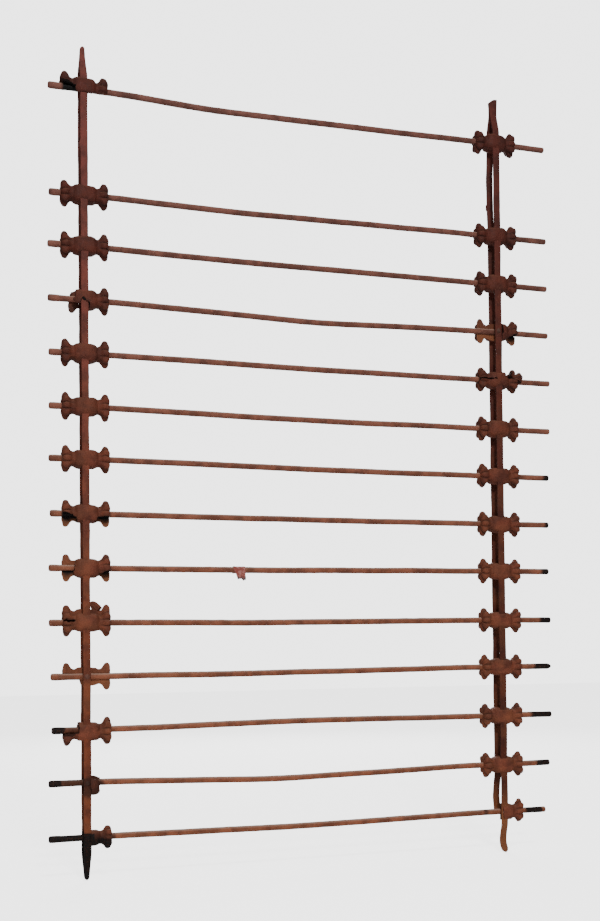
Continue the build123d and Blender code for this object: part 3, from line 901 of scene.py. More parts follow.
@dataclass
class Upright:
    """The pair of flat straps on one side, which hold every rod between them."""

    places: Places
    soot: Soot
    material: bpy.types.Material
    rivet_material: bpy.types.Material
    side: Side
    width: dict[Side, float] = field(default_factory=lambda: {Side.LEFT: 15.0, Side.RIGHT: 15.8})
    thick: float = 4.5
    gap: float = 26.5
    sprung: float = 4.0
    loose: float = 12.0  # how far the broken end of the right rear strap stands out
    join: float = 40.0  # length over which the two upper tips lie together
    top_width: dict[Side, float] = field(default_factory=lambda: {Side.LEFT: 9.0, Side.RIGHT: 21.0})
    foot_width: dict[Side, float] = field(default_factory=lambda: {Side.LEFT: 10.0, Side.RIGHT: 16.5})
    # Drop of the cut across the top.
    slant: dict[Side, float] = field(default_factory=lambda: {Side.LEFT: 1.5, Side.RIGHT: 9.0})
    taper: float = 45.0
    lean: dict[Side, float] = field(default_factory=lambda: {Side.LEFT: 0.0, Side.RIGHT: 3.5})  # of the foot
    clear: float = 25.0  # from a rod to where the strap starts to bend
    blur: float = 5.0
    pitch: float = 110.0
    burr: dict[Side, float] = field(default_factory=lambda: {Side.LEFT: 640.0, Side.RIGHT: 617.0})
    burr_out: float = 2.2
    hole: float = 3.0
    nail_hole: float = 2.5
    nail_below: float = 20.0  # from the top of the right upright's straps
    warm_foot: dict[Side, float] = field(default_factory=lambda: {Side.LEFT: 0.0, Side.RIGHT: 0.85})
    step: float = 2.5
    sides: int = 20

    def course(self, face: Face, top: float, foot: float) -> Array:
        """Distance of a strap's middle from the rods' plane, at heights from the foot up.

        Args:
            face: Which strap.
            top: Height of its upper tip.
            foot: Height of its lower tip.

        Returns:
            Rows of (height, distance).
        """
        together, apart = self.thick / 2, self.gap / 2 + self.thick / 2
        seats = self.places.seat_z[self.side]
        rows = [(top, together), (top - self.join, together), (seats[0] + self.clear, apart)]
        if self.side is Side.RIGHT and face is Face.REAR:
            spare = self.spare_slot()
            out = apart + self.sprung
            third = self.pitch / 3
            rows += [(seats[0] - self.clear, apart), (spare + third, out), (spare - third, out)]
            rows += [(seats[1] + self.clear, apart), (seats[12] - self.clear, apart)]
            rows += [(seats[13] + self.pitch / 4, apart + self.loose), (foot, apart + self.loose)]
        else:
            tip = apart - self.thick if self.side is Side.RIGHT else together
            rows += [(seats[13] - self.clear, apart), (foot + self.taper / 2, together), (foot, tip)]
        return np.array(rows[::-1])

    def spare_slot(self) -> float:
        """Height of the empty rivet place below the first rod."""
        names = {mount["name"]: mount["pos_m"] for mount in frame["record"]["mounts"]}
        return names[f"{self.side.label}_spare_rivet_hole"][2] / MM

    def half_width(self, face: Face, z: Array, top: float, foot: float) -> Array:
        """Half the strap's width: full between the tips, changing evenly over the taper, with rounded ends.

        Args:
            face: Which strap.
            z: Heights.
            top: Height of its upper tip.
            foot: Height of its lower tip.

        Returns:
            Half widths in millimetres.
        """
        widths = (self.width[self.side], self.top_width[self.side], self.foot_width[self.side])
        full, head, sole = (width / 2 for width in widths)
        broken_short = self.side is Side.RIGHT and face is Face.REAR
        foot_half = full if broken_short else sole
        stretch = [(foot, foot_half), (foot + self.taper, full), (top - self.taper, full), (top, head)]
        stretch = np.array(stretch)
        half = np.interp(z, stretch[:, 0], stretch[:, 1])
        rounding = head if self.side is Side.LEFT else 1.0
        crown = np.sqrt(np.clip(1.0 - np.clip(1.0 - (top - z) / rounding, 0.0, 1.0) ** 2, 0.04, 1.0))
        if broken_short:
            return half * crown
        toe = np.sqrt(np.clip(1.0 - np.clip(1.0 - (z - foot) / (1.2 * sole), 0.0, 1.0) ** 2, 0.02, 1.0))
        return half * crown * toe

    def surface(self, face: Face) -> Array:
        """Rings of a strap: a flat section with round edges carried up its course, scaled and dented.

        The section is a superellipse of high power, so its sides are flat and its edges are soft.

        Args:
            face: Which strap.

        Returns:
            Positions by ring and by place in the ring.
        """
        low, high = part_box(f"{self.side.label}_{face.label}_strap")
        foot, top = low.z / MM, high.z / MM
        z = np.linspace(foot, top, int((top - foot) / self.step))
        middle = softened(self.course(face, top, foot), z, self.blur)
        half = self.half_width(face, z, top, foot)
        angle = np.linspace(0.0, 2.0 * math.pi, self.sides, endpoint=False) + math.pi / self.sides
        across, deep = np.cos(angle), np.sin(angle)
        power = 0.28
        across = np.sign(across) * np.abs(across) ** power
        deep = np.sign(deep) * np.abs(deep) ** power
        rest = np.stack([half[:, None] * across, np.broadcast_to(deep * 2.0, (len(z), self.sides))], -1)
        seed = 300 + 10 * (self.side is Side.RIGHT) + 5 * (face is Face.REAR)
        edges = np.stack(np.broadcast_arrays(z[:, None], 90.0 * np.sign(across)), -1)
        x = rest[..., 0] + ripple(z[:, None], seed, 160.0, 0.3)[:, None]
        x = x + self.lean[self.side] * smooth_step(70.0, 0.0, z - foot)[:, None] ** 2
        x = x + np.sign(across) * (ripple(edges, seed + 1, 45.0, 0.22) + ripple(edges, seed + 4, 9.0, 0.06))
        if (self.side is Side.LEFT) == (face is Face.FRONT):
            ledge = smooth_step(9.0, 5.0, np.abs(z - self.burr[self.side]))[:, None]
            x = x - self.burr_out * ledge * (across < -0.5)
        y = face.value * middle[:, None] + self.thick / 2 * deep
        near_top = smooth_step(30.0, 0.0, top - z)[:, None]
        cut = self.slant[self.side] * near_top * (0.5 - x / self.top_width[self.side])
        skin = np.stack([x + self.places.post_x[self.side], y, z[:, None] - np.clip(cut, 0.0, None)], -1)
        dents = ripple(skin, seed + 2, 30.0, 0.12) + ripple(skin, seed + 3, 6.0, 0.04)
        skin[..., 1] += dents * np.sign(deep)
        return skin

    def pierce(self, piece: bpy.types.Object, holes: list[tuple[float, float]]) -> None:
        """Cuts round holes through a strap along Y and bakes the cut into its mesh.

        Args:
            piece: The strap.
            holes: Height and radius of each hole.
        """
        for height, radius in holes:
            angle = np.linspace(0.0, 2.0 * math.pi, DRILL_SIDES, endpoint=False)
            across = np.cos(angle) * radius + self.places.post_x[self.side]
            ring = np.stack([across, np.zeros(DRILL_SIDES), np.sin(angle) * radius + height], -1)
            ends = np.stack([ring - [0.0, DRILL_REACH, 0.0], ring + [0.0, DRILL_REACH, 0.0]])
            cutter = add_piece("drill", ends.reshape(-1, 3), tube_quads(2, DRILL_SIDES), {})
            modifier = piece.modifiers.new("hole", "BOOLEAN")
            modifier.object, modifier.operation, modifier.solver = cutter, "DIFFERENCE", "EXACT"
            bpy.context.view_layer.update()
            evaluated = piece.evaluated_get(bpy.context.evaluated_depsgraph_get())
            drilled = bpy.data.meshes.new_from_object(evaluated)
            piece.modifiers.clear()
            piece.data = drilled
            bpy.data.objects.remove(cutter)

    def build(self) -> None:
        """Makes both straps, pierces them and dresses the rivets."""
        for face in Face:
            node = f"{self.side.label}_{face.label}_strap"
            skin = self.surface(face)
            points = skin.reshape(-1, 3)
            warm = self.warm_foot[self.side] * smooth_step(-700.0, -790.0, points[:, 2])
            marks = {"soot": self.soot.at(points, self.places), "inside": warm}
            quads = tube_quads(*skin.shape[:2])
            piece = add_piece(f"{node}_iron", points, quads, marks, sharp=60.0)
            holes = [(self.spare_slot(), self.hole)]
            if self.side is Side.RIGHT:
                holes.append((points[:, 2].max() - self.nail_below, self.nail_hole))
            self.pierce(piece, holes)
            claim(piece, "strap_iron", self.material, node)
        self.dress_rivets()
        LOG.info("%s upright", self.side.label)

    def dress_rivets(self) -> None:
        """Gives the rivets their material and marks the heads that are burnt or grimy."""
        rivets = frame["nodes"][f"{self.side.label}_rivets"]
        mesh = rivets.data
        mesh.materials.clear()
        mesh.materials.append(self.rivet_material)
        flat = np.empty(3 * len(mesh.vertices), np.float32)
        mesh.vertices.foreach_get("co", flat)
        turn = np.array(rivets.matrix_world)
        points = (flat.reshape(-1, 3) @ turn[:3, :3].T + turn[:3, 3]) / MM
        amount = self.soot.at(points, self.places)
        for row, seat in enumerate(self.places.seat_z[self.side], 1):
            near = np.abs(points[:, 2] - seat) < self.pitch / 4
            amount = np.maximum(amount, GRIMY_HEADS.get((self.side, row), 0.0) * near)
        mesh.attributes.new("soot", "FLOAT", "POINT").data.foreach_set("value", amount.astype(np.float32))


# ---- castings -------------------------------------------------------------------------------------
# One wing of a casting from its middle out: share of the way, distance out, half height and depth.
COLLAR_PROFILE = np.array([
    (0.00, 0.0, 19.2, 21.3), (0.10, 6.0, 19.2, 21.2), (0.20, 11.4, 19.0, 20.9), (0.27, 14.4, 18.7, 20.2),
    (0.34, 17.6, 18.2, 19.2), (0.40, 20.6, 17.0, 17.4), (0.47, 23.6, 15.6, 15.2), (0.54, 27.0, 15.3, 14.8),
    (0.62, 30.8, 16.8, 16.0), (0.69, 33.7, 20.4, 17.8), (0.75, 36.2, 23.9, 19.0), (0.81, 39.4, 25.6, 19.2),
    (0.87, 43.0, 25.2, 18.6), (0.92, 46.0, 22.6, 16.8), (0.96, 47.9, 17.2, 13.4), (0.985, 48.5, 11.8, 10.2),
    (1.00, 48.8, 7.6, 7.4),
])


@dataclass
class Casting:
    """One half collar: a block with a fluted wing each side, cast against the rods' plane."""

    name: str
    side: Side
    face: Face
    centre: tuple[float, float]
    seed: int
    kept: Outline = ()
    core: float = 6.6
    offset: float = 2.0  # of the casting's middle, right of its upright
    flutes: int = 4
    flute_depth: float = 0.24
    worn: float = 0.5
    laid_bare: float = 0.15  # fresh rust on the parting face
    break_shade: float = 0.8  # painted shade on a front casting's breaks and inner skin
    groove_shade: float = 0.4  # painted shade in the grooves of the wings
    stretch: float = 1.0  # height and depth against the pattern's
    turn: float = 0.0  # about Y, in degrees
    seam: float = 0.12  # half the gap between a front and a rear casting
    block_power: float = 3.2  # of the block's superellipse
    wing_power: float = 2.2
    ridge_middle: float = 0.62  # height of a flute's wave that leaves the wing's size as it is
    scallop: float = 2.2  # how far a ridge stands out beyond a groove at the wing's end
    stations: int = 97
    spokes: int = 49

    def section(self, share: Array, angle: Array) -> tuple[Array, Array, Array]:
        """Outer skin: distance out, and radius about the rod at an angle from straight forwards.

        The radius is a superellipse with the profile's half height and depth, nearly square at the block
        and round on the wings, where it is fluted: it swells and pinches with the angle, more further out.

        Args:
            share: Place along the casting from -1 at its left end to 1 at its right.
            angle: Angle up from straight forwards, in radians.

        Returns:
            Distance out, outer radius and inner radius.
        """
        out = np.abs(share)
        x, half, depth = np.moveaxis(flow_through(COLLAR_PROFILE, out), -1, 0)
        power = self.wing_power + (self.block_power - self.wing_power) * smooth_step(0.50, 0.40, out)
        total = np.abs(np.cos(angle) / depth) ** power + np.abs(np.sin(angle) / half) ** power
        radius = total ** (-1.0 / power)
        ridge = np.abs(np.cos(self.flutes * angle)) - self.ridge_middle
        fluted = smooth_step(0.46, 0.80, out) * smooth_step(1.02, 0.93, out)
        radius = radius * (1.0 + self.flute_depth * fluted * ridge) * self.stretch
        x = x + self.scallop * ridge * smooth_step(0.78, 0.94, out) * smooth_step(1.0, 0.96, out)
        inner = np.minimum(radius - 0.4, self.core)
        return np.sign(share) * x + self.offset, radius, inner

    def place(self, share: Array, angle: Array) -> tuple[Array, Array]:
        """Outside and inside positions at each share and angle, before they are moved to the crossing.

        Args:
            share: Place along the casting.
            angle: Angle up from straight forwards.

        Returns:
            Outside and inside positions.
        """
        x, radius, inner = self.section(share, angle)
        flat = np.stack([x, np.cos(angle) * radius, np.sin(angle) * radius], -1)
        lump = ripple(flat + 31.0 * self.seed, self.seed, 19.0, self.worn)
        lump = lump + ripple(flat, self.seed + 50, 6.5, 0.16)
        lean = ripple(flat[..., :1] + 3.0, self.seed + 90, 60.0, 0.5)
        radius = radius + lump * smooth_step(5.0, 12.0, radius)
        skins = []
        for reach, squeeze in ((radius, 1.0), (np.minimum(inner, radius - 0.3), 0.94)):
            drawn_in = self.offset + (x - self.offset) * squeeze
            y = self.face.value * (np.cos(angle) * reach + self.seam)
            skins.append(np.stack([drawn_in, y, np.sin(angle) * reach + lean], -1))
        return skins[0], skins[1]

    def skins(self) -> tuple[Array, Array, Array, Array]:
        """Grid of outside and inside positions and the cells that are left, drawn onto the ragged break.

        A cell is kept where its middle lies inside the outline, roughened by ripples. Corners next to
        the break slide along the grid until they lie on it: each moves by its distance over the slope.

        Returns:
            Outside positions, inside positions, which cells are left and which corners lie on a break.
        """
        share, angle = np.meshgrid(
            np.linspace(-1.0, 1.0, self.stations), np.linspace(-QUARTER, QUARTER, self.spokes), indexing="ij"
        )
        outside, inside = self.place(share, angle)
        cells = np.ones((self.stations - 1, self.spokes - 1), bool)
        if not self.kept:
            return outside, inside, cells, np.zeros(share.shape, bool)
        spare = inside_by(self.kept, outside[..., 0], outside[..., 2])
        spare = spare + ripple(outside, self.seed + 7, 9.0, 1.1) + ripple(outside, self.seed + 8, 3.5, 0.4)
        cells = (spare[:-1, :-1] + spare[1:, :-1] + spare[:-1, 1:] + spare[1:, 1:]) > 0.0
        near = np.pad(cells, 1)
        corners = np.stack([near[:-1, :-1], near[1:, :-1], near[:-1, 1:], near[1:, 1:]])
        open_edge = corners.any(0) & ~corners.all(0)
        rise_share, rise_angle = np.gradient(spare)
        steep = rise_share**2 + rise_angle**2 + 0.02
        limit = 0.6 * open_edge
        share = share + np.clip(-spare * rise_share / steep, -limit, limit) * 2.0 / (self.stations - 1)
        angle = angle + np.clip(-spare * rise_angle / steep, -limit, limit) * math.pi / (self.spokes - 1)
        outside, inside = self.place(np.clip(share, -1.0, 1.0), np.clip(angle, -QUARTER, QUARTER))
        return outside, inside, cells, open_edge

    def moved(self, points: Array) -> Array:
        """Points about the crossing turned and moved to where it is."""
        return self.turned(points) + [self.centre[0], 0.0, self.centre[1]]

    def turned(self, points: Array) -> Array:
        """Points turned about Y."""
        cosine, sine = math.cos(math.radians(self.turn)), math.sin(math.radians(self.turn))
        x, y, z = np.moveaxis(points, -1, 0)
        return np.stack([x * cosine + z * sine, y, z * cosine - x * sine], -1)

    def marks(
        self, outside: Array, points: Array, open_edge: Array, soot: Soot, places: Places
    ) -> dict[str, Array]:
        """Values per vertex for the material: black burnt deposit with painted shade on breaks and in
        grooves, and fresh rust with painted light on its lower part.

        Args:
            outside: Grid of the outer skin, for its shape.
            points: Every vertex, outer skin first.
            open_edge: Which corners of the grid lie on a break.
            soot: Where it is blackened by burnt deposit and darkened by painted shadow.
            places: Where the uprights are.

        Returns:
            The values by name.
        """
        parting = np.zeros((2, *outside.shape[:2]))
        parting[1] = 1.0
        parting[0][:, [0, -1]] = 1.0
        # Painted light: more of the fresh rust colour on the lower part, which faces up into the light, than
        # on the shaded upper part.
        below = smooth_step(12.0, -6.0, points[:, 2] - self.centre[1])
        bare = parting.ravel() * self.laid_bare * (0.35 + 0.65 * below)
        # Painted shade: a front casting is darkened along its breaks and over its inner skin.
        shaded = np.concatenate([open_edge.ravel(), np.ones(open_edge.size)]) * self.break_shade
        shaded = shaded * (self.face is Face.FRONT)
        out = np.abs(points[:, 0] - self.centre[0] - self.offset)
        angle = np.arctan2(points[:, 2] - self.centre[1], np.abs(points[:, 1]))
        flute = np.abs(np.cos(self.flutes * angle))
        # Painted shade in the grooves between the flutes of the wings.
        groove = self.groove_shade * smooth_step(0.55, 0.1, flute) * smooth_step(23.0, 32.0, out)
        return {"soot": np.max([soot.at(points, places), shaded, groove], axis=0), "inside": bare}

    def build(self, soot: Soot, places: Places) -> bpy.types.Object:
        """Makes the casting as a closed shell.

        Args:
            soot: Where it is blackened by burnt deposit and darkened by painted shadow.
            places: Where the uprights are.

        Returns:
            The piece, undressed.
        """
        outside, inside, cells, open_edge = self.skins()
        points = self.moved(np.concatenate([outside.reshape(-1, 3), inside.reshape(-1, 3)]))
        quads = shell_quads(cells)
        if self.face is Face.REAR:
            quads = quads[:, ::-1]
        marks = self.marks(outside, points, open_edge, soot, places)
        return add_piece(self.name, points, quads, marks)


@dataclass
class Lobe(Casting):
    """A lobe broken off its casting and rusted fast beside it, turned as it fell."""

    lies_at: tuple[float, float, float] = (0.0, 0.0, 0.0)

    def moved(self, points: Array) -> Array:
        """Points turned about Y around the lobe's own middle and moved to where it lies.

        Args:
            points: Positions about the crossing.

        Returns:
            Positions in the grille's frame.
        """
        turned = self.turned(points - self.lobe_middle())
        return turned + self.lies_at + np.array([self.centre[0], 0.0, self.centre[1]])

    def lobe_middle(self) -> Array:
        """Middle of the lobe's outline in its wing, at half the wing's depth."""
        low, high = (14.0, 18.0) if self.kept[0][0] > 0 else (-14.0, -18.0)
        return np.array([2.5 * low, self.face.value * 9.0, 0.75 * high])


# What is left of each broken casting, in millimetres from the crossing.
KEPT: dict[tuple[Face, Side, int], Outline] = {
    (Face.FRONT, Side.LEFT, 1): (
        (-70, 40), (70, 40), (70, -5), (24, -9), (16, -14), (-15, -14), (-17, -3), (-34, 4), (-70, 9),
    ),
    (Face.FRONT, Side.LEFT, 4): (
        (-11, 40), (70, 40), (70, -40), (9, -40), (9, -7), (2, -5), (-3, 3), (-9, -8), (-18, -13), (-21, -2),
    ),
    (Face.FRONT, Side.LEFT, 8): (
        (-70, 40), (70, 40), (70, -4), (28, -6), (19, -15), (16, -40), (-15, -40), (-18, -14), (-27, -3),
        (-45, 2), (-70, 1),
    ),
    (Face.FRONT, Side.LEFT, 9): (
        (-14, 40), (70, 40), (70, -6), (40, -6), (27, -10), (20, -40), (-18, -40), (-25, -8),
    ),
    (Face.FRONT, Side.LEFT, 10): (
        (-70, 40), (70, 40), (70, -40), (-70, -40), (-70, 1.6), (-22, 3.2), (-22, 5.0), (-70, 5.2),
    ),
    (Face.FRONT, Side.LEFT, 12): (
        (-70, -40), (70, -40), (70, 40), (-16, 40), (-16, -2), (-30, -7), (-70, -7),
    ),
    (Face.FRONT, Side.LEFT, 13): ((6, 15), (22, 13), (25, -4), (24, -40), (6, -40)),
    (Face.FRONT, Side.LEFT, 14): ((7, 40), (70, 40), (70, -40), (5, -40)),
    (Face.FRONT, Side.RIGHT, 4): ((9, 40), (70, 40), (70, -2), (38, -6), (24, -16), (9, -40)),
    (Face.FRONT, Side.RIGHT, 5): (
        (-70, 40), (17, 40), (17, 8), (22, 3), (70, 0), (70, -40), (-70, -40), (-70, -1.5), (-4, 0.0),
        (-4, 2.4), (-70, 2.0),
    ),
    (Face.FRONT, Side.RIGHT, 14): ((-6, 40), (70, 40), (70, -40), (-3, -40)),
    (Face.REAR, Side.LEFT, 1): ((-70, 40), (70, 40), (70, 1.5), (-70, 1.5)),
    (Face.REAR, Side.LEFT, 4): ((-26, 40), (70, 40), (70, -40), (5, -40), (-6, 0), (-26, 0)),
    (Face.REAR, Side.LEFT, 11): ((-70, 40), (70, 40), (70, -40), (-5, -40), (-10, 0), (-70, 1.5)),
    (Face.REAR, Side.LEFT, 12): ((-70, -40), (70, -40), (70, 40), (-15, 40), (-15, 0), (-70, -8)),
    (Face.REAR, Side.LEFT, 13): ((-2, 40), (27, 40), (27, -40), (-2, -40)),
    (Face.REAR, Side.LEFT, 14): ((0, 40), (70, 40), (70, -40), (0, -40)),
}
GONE = {(Face.FRONT, Side.LEFT, 11), (Face.REAR, Side.RIGHT, 14)}
# How rusty the laid-bare parting face behind a lost or broken front casting is, from 0 to 1.
LAID_BARE = {(Side.LEFT, 8): 0.75, (Side.LEFT, 9): 0.95, (Side.LEFT, 11): 0.6, (Side.RIGHT, 4): 0.7}
# How far a casting has slipped up its upright, from its place.
SLIPPED = {
    (Face.REAR, Side.LEFT, 10): 9.0,
    (Face.REAR, Side.LEFT, 13): -6.0,
    (Face.FRONT, Side.LEFT, 13): -6.0,
}
# Castings smaller than the pattern, castings that sit high or low on their rod, and one that is turned.
SHRUNK = {(Side.LEFT, 14): 0.84, (Side.RIGHT, 14): 0.94}
HANGS = {(Side.LEFT, 1): 1.5, (Side.LEFT, 12): -2.5, (Side.LEFT, 14): -1.0}
TURNED = {(Face.FRONT, Side.LEFT, 1): 4.5}


@dataclass
class Collars:
    """Every casting at every crossing, and the lobes that broke off and stayed."""

    places: Places
    soot: Soot
    materials: dict[Face, bpy.types.Material]
    uneven: float = 0.7  # how far a casting may sit above or below its place
    spread: float = 0.025  # how much a casting may differ from the pattern's size

    def node_for(self, face: Face, side: Side, row: int) -> str:
        """Name of the CAD node that holds a casting.

        Args:
            face: Front or rear.
            side: Left or right upright.
            row: Number of the rod, from 1.

        Returns:
            The casting's own node, or the group that holds the whole rear ones.
        """
        own = f"{side.label}_{face.label}_collar_{row:02d}"
        other = f"{side.label}_rear_collar_{row:02d}"
        named = [name for name in (own, other) if name in frame["nodes"]]
        return named[0] if named else f"{side.label}_rear_collars_whole"

    def crossing(self, side: Side, row: int) -> tuple[float, float]:
        """Where a rod crosses an upright: across and up."""
        return self.places.post_x[side], self.places.seat_z[side][row - 1]

    def casting_at(self, face: Face, side: Side, row: int) -> Casting:
        """One casting in its place, with its own unevenness and with what is known of its breaks.

        Args:
            face: Front or rear.
            side: Left or right upright.
            row: Number of the rod, from 1.

        Returns:
            The casting, not built yet.
        """
        key = (face, side, row)
        across, up = self.crossing(side, row)
        seed = 400 + 3 * row + 100 * (side is Side.RIGHT) + 211 * (face is Face.REAR)
        lift, growth = np.random.default_rng(seed).uniform(-1.0, 1.0, 2)
        slip = SLIPPED.get(key, 0.0) + (HANGS.get((side, row), 0.0) + self.uneven * lift)
        return Casting(
            f"{side.label}_{face.label}_casting_{row:02d}", side, face, (across, up + slip), seed,
            kept=KEPT.get(key, ()),
            laid_bare=LAID_BARE.get((side, row), 0.15),
            stretch=SHRUNK.get((side, row), 1.0) * (1.0 + self.spread * growth),
            turn=TURNED.get(key, 0.0),
        )

    def build_castings(self) -> int:
        """Makes every casting that is still there.

        Returns:
            How many were made.
        """
        made = 0
        for face in Face:
            for side in Side:
                for row in range(1, ROWS + 1):
                    key = (face, side, row)
                    if key in GONE:
                        continue
                    piece = self.casting_at(face, side, row).build(self.soot, self.places)
                    claim(piece, f"casting_{face.label}", self.materials[face], self.node_for(*key))
                    made += 1
        return made

    def build_lobes(self) -> None:
        """Makes the three lobes that broke off and stayed."""
        right_lobe = ((20.0, 3.0), (70.0, 3.0), (70.0, 40.0), (20.0, 40.0))
        left_lobe = ((-28.0, -3.0), (-70.0, -3.0), (-70.0, -40.0), (-28.0, -40.0))
        loose = (
            (Side.RIGHT, 5, Face.FRONT, right_lobe, (47.0, -11.0, 11.0), 28.0),
            (Side.LEFT, 4, Face.REAR, left_lobe, (-19.0, 12.0, -14.0), 8.0),
            (Side.LEFT, 10, Face.REAR, right_lobe, (17.0, 12.0, 27.0), -50.0),
        )
        for side, row, face, outline, lies_at, turn in loose:
            name = f"{side.label}_{face.label}_loose_lobe_{row:02d}"
            crossing = self.crossing(side, row)
            lobe = Lobe(name, side, face, crossing, 600 + row, outline, turn=turn, lies_at=lies_at)
            piece = lobe.build(self.soot, self.places)
            node = f"{side.label}_{face.label}_collar_{row:02d}_lobe"
            claim(piece, f"casting_{face.label}", self.materials[face], node)

    def build(self) -> None:
        """Makes the castings and the loose lobes."""
        LOG.info("%d castings", self.build_castings())
        self.build_lobes()
        LOG.info("3 loose lobes")


# ---- scrap of cloth -------------------------------------------------------------------------------
@dataclass
class RagScrap:
    """The torn scrap of red cloth that hangs on rod 9."""

    rods: Rods
    material: bpy.types.Material
    row: int = 9
    width: float = 26.0
    wrap_turn: float = 250.0  # degrees of the rod that the cloth goes round
    stand_off: float = 0.7
    hang: float = 21.0
    ragged: float = 3.0
    drift: float = 5.0  # of its torn edge to the right
    narrowing: float = 0.35  # share of its width lost towards the torn edge
    thick: float = 0.5
    across: int = 45
    down: int = 70

    def surface(self) -> tuple[Array, Array, Array]:
        """Cloth as a grid: once over the rod from low behind to the front, and then straight down in folds.

        The first part of its length goes round a circle just outside the rod, and the rest falls with
        waves that grow towards its torn lower edge. Its side edges wander by ripples.

        Returns:
            Positions, how much painted highlight each gets where it lies over the top of the rod, and how
            dirty it is.
        """
        box_low, box_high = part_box("rag_scrap")
        centre = (box_low.x + box_high.x) / 2 / MM
        radius = self.rods.radius + self.stand_off
        arc = radius * math.radians(self.wrap_turn)
        across, down = np.linspace(-1.0, 1.0, self.across), np.linspace(0.0, 1.0, self.down)
        share, length = np.meshgrid(across, down, indexing="ij")
        edge = np.stack([length * 60.0, share * 5.0], -1)
        narrowed = 1.0 - self.narrowing * smooth_step(0.6, 1.0, length)
        half = (self.width / 2 + ripple(edge, 901, 16.0, 1.0)) * narrowed
        x = centre + share * half + self.drift * smooth_step(0.55, 1.0, length)
        torn = ripple(np.stack([x, 0.0 * x], -1), 902, 7.0, self.ragged)
        run = length * (arc + self.hang + torn * length)
        fold = ripple(np.stack([x, run * 0.25], -1), 903, 9.0, 0.55)
        angle = math.radians(self.wrap_turn) - np.minimum(run, arc) / radius
        fallen = np.maximum(run - arc, 0.0)
        lift = radius + np.abs(fold) * 0.8
        y = -np.cos(angle) * lift + fold * smooth_step(0.0, 8.0, fallen) * 0.9 - 0.04 * fallen
        z = self.rods.height_at(self.row, x) + np.sin(angle) * lift - fallen
        # Painted highlight on the folds where the cloth lies over the top of the rod.
        crest = smooth_step(0.5, 0.95, np.sin(angle)) * smooth_step(-0.6, 0.5, fold) * (fallen == 0.0)
        dirt = smooth_step(12.0, 20.0, fallen + ripple(np.stack([x, z], -1), 904, 9.0, 2.0)) * 0.9
        return np.stack([x, y, z], -1), crest, dirt

    @staticmethod
    def cut_size(skin: Array) -> tuple[float, float]:
        """Width and length of the cloth laid flat: its mean width, and its area over that.

        Args:
            skin: Grid of positions in millimetres.

        Returns:
            Width and length in metres.
        """
        width = np.linalg.norm(np.diff(skin, axis=0), axis=-1).sum(0).mean()
        along, down = skin[1:, :-1] - skin[:-1, :-1], skin[:-1, 1:] - skin[:-1, :-1]
        area = np.linalg.norm(np.cross(along, down), axis=-1).sum()
        return width * MM, area / width * MM

    def build(self) -> None:
        """Makes the cloth and gives it its thickness."""
        skin, crest, dirt = self.surface()
        rows, columns = skin.shape[:2]
        index = np.arange(rows * columns).reshape(rows, columns)
        quads = np.stack([index[:-1, :-1], index[:-1, 1:], index[1:, 1:], index[1:, :-1]], -1).reshape(-1, 4)
        marks = {"crest": crest.ravel(), "dirt": dirt.ravel()}
        piece = add_piece("rag_scrap_cloth", skin.reshape(-1, 3), quads, marks)
        layer = piece.data.uv_layers.new(name="weave")
        grid = np.meshgrid(np.linspace(0, 1, rows), np.linspace(0, 1, columns), indexing="ij")
        corners = np.stack(grid, -1).reshape(-1, 2)[quads.ravel()]
        layer.data.foreach_set("uv", corners.astype(np.float32).ravel())
        solid = piece.modifiers.new("thickness", "SOLIDIFY")
        solid.thickness, solid.offset = self.thick * MM, 0.0
        claim(piece, "rag_cloth", self.material, "rag_scrap")


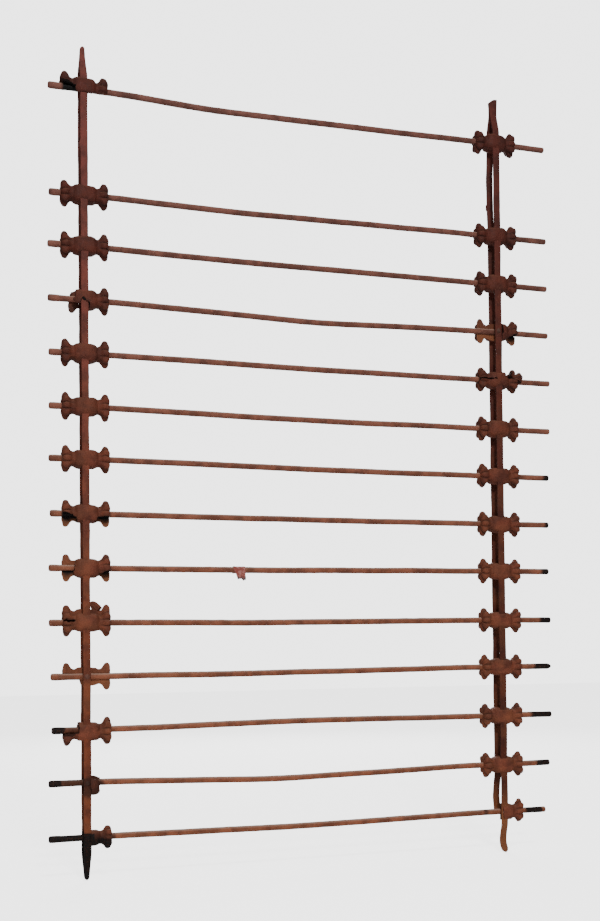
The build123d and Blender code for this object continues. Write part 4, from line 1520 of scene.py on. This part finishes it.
# ---- studio ---------------------------------------------------------------------------------------
@dataclass
class Studio:
    """Pale floor, soft lights, white surroundings and the camera."""

    lens: float = 49.75
    shift_up: float = 0.1618
    yaw: float = 19.06
    pitch: float = 1.308
    roll: float = -0.544
    eye: tuple[float, float, float] = (-936.9, -2603.7, -376.6)
    key_power: float = 125.0
    fill: float = 0.22
    white: float = 3.4
    floor_glow: float = 2.8
    floor_reach: float = 9000.0
    # Name, share of the key's power, side and place in metres of each light.
    lights: tuple[tuple[str, float, float, tuple[float, float, float]], ...] = (
        ("key", 1.0, 0.5, (-0.55, -3.6, 2.5)),
        ("side", 0.12, 2.0, (-2.8, -2.6, 0.4)),
        ("back", 0.5, 1.6, (1.0, 3.4, 1.0)),
    )

    def add_floor(self) -> None:
        """Lays a wide pale floor just under the tips of the uprights."""
        level = CAD_BOX[0][2] / MM - 1.0
        reach = self.floor_reach
        ways = ((-reach, -reach), (reach, -reach), (reach, reach), (-reach, reach))
        corners = np.array([(x, y, level) for x, y in ways])
        floor = add_piece("floor", corners, np.array([[0, 1, 2, 3]]), {})
        pale = bpy.data.materials.new("pale_floor")
        pale.use_nodes = True
        wiring, nodes = Wiring(pale.node_tree), pale.node_tree.nodes
        shader = nodes["Principled BSDF"]
        wiring.put((0.92, 0.92, 0.92), shader.inputs["Base Color"])
        wiring.put(0.9, shader.inputs["Roughness"])
        wiring.put((1.0, 1.0, 1.0), shader.inputs["Emission Color"])
        seen = nodes.new("ShaderNodeLightPath").outputs["Is Camera Ray"]
        wiring.put(wiring.math("MULTIPLY", seen, self.floor_glow), shader.inputs["Emission Strength"])
        floor.data.materials.append(pale)

    def add_light(self, name: str, power: float, size: float, place: tuple[float, float, float]) -> None:
        """Hangs a square soft light that faces the middle of the grille.

        Args:
            name: Name of the light.
            power: Watts.
            size: Side in metres.
            place: Where it hangs, in metres.
        """
        data = bpy.data.lights.new(name, "AREA")
        data.energy, data.size = power, size
        lamp = bpy.data.objects.new(name, data)
        lamp.location = place
        lamp.rotation_euler = Vector(place).to_track_quat("Z", "Y").to_euler()
        bpy.context.scene.collection.objects.link(lamp)

    def add_world(self) -> None:
        """Surroundings that look white and light the grille more gently than they look."""
        world = bpy.data.worlds.new("white_room")
        bpy.context.scene.world = world
        world.use_nodes = True
        wiring, nodes = Wiring(world.node_tree), world.node_tree.nodes
        background = nodes["Background"]
        background.inputs["Color"].default_value = (1.0, 1.0, 1.0, 1.0)
        seen = nodes.new("ShaderNodeLightPath").outputs["Is Camera Ray"]
        wiring.put(wiring.ramp(seen, 0.0, 1.0, self.fill, self.white), background.inputs["Strength"])

    def add_camera(self) -> None:
        """Sets the camera up from its yaw, pitch and roll."""
        yaw, pitch, roll = (math.radians(angle) for angle in (self.yaw, self.pitch, self.roll))
        forward = Vector((math.sin(yaw) * math.cos(pitch), math.cos(yaw) * math.cos(pitch), math.sin(pitch)))
        level = Vector((math.cos(yaw), -math.sin(yaw), 0.0))
        up = level.cross(forward)
        right = level * math.cos(roll) + up * math.sin(roll)
        top = up * math.cos(roll) - level * math.sin(roll)
        data = bpy.data.cameras.new("camera")
        data.lens, data.sensor_width, data.shift_y = self.lens, 36.0, self.shift_up
        data.dof.use_dof = False
        data.clip_start, data.clip_end = 0.05, 60.0
        camera = bpy.data.objects.new("camera", data)
        turned = Matrix((right, top, -forward)).transposed().to_4x4()
        camera.matrix_world = Matrix.Translation(Vector(self.eye) * MM) @ turned
        bpy.context.scene.collection.objects.link(camera)
        bpy.context.scene.camera = camera

    def build(self) -> None:
        """Makes the floor, the surroundings, the lights and the camera."""
        self.add_floor()
        self.add_world()
        for name, share, size, place in self.lights:
            self.add_light(name, self.key_power * share, size, place)
        self.add_camera()


def main() -> None:
    """Builds the studio and then the grille, from its rods out to what caught on them."""
    logging.basicConfig(level=logging.INFO, format="%(name)s: %(message)s")
    Studio().build()
    places, soot, rust = Places.read(), Soot(), rust_group()
    finish = {name: made.build(rust) for name, made in FINISHES.items()}
    strap_iron = {Side.LEFT: finish["left strap"], Side.RIGHT: finish["right strap"]}
    castings = {Face.FRONT: finish["front casting"], Face.REAR: finish["rear casting"]}
    rods = Rods(places, soot, finish["rod"])
    rods.build()
    for side in Side:
        Upright(places, soot, strap_iron[side], finish["rivet"], side).build()
    Collars(places, soot, castings).build()
    RagScrap(rods, ClothFinish().build()).build()


if __name__ == "__main__":
    main()
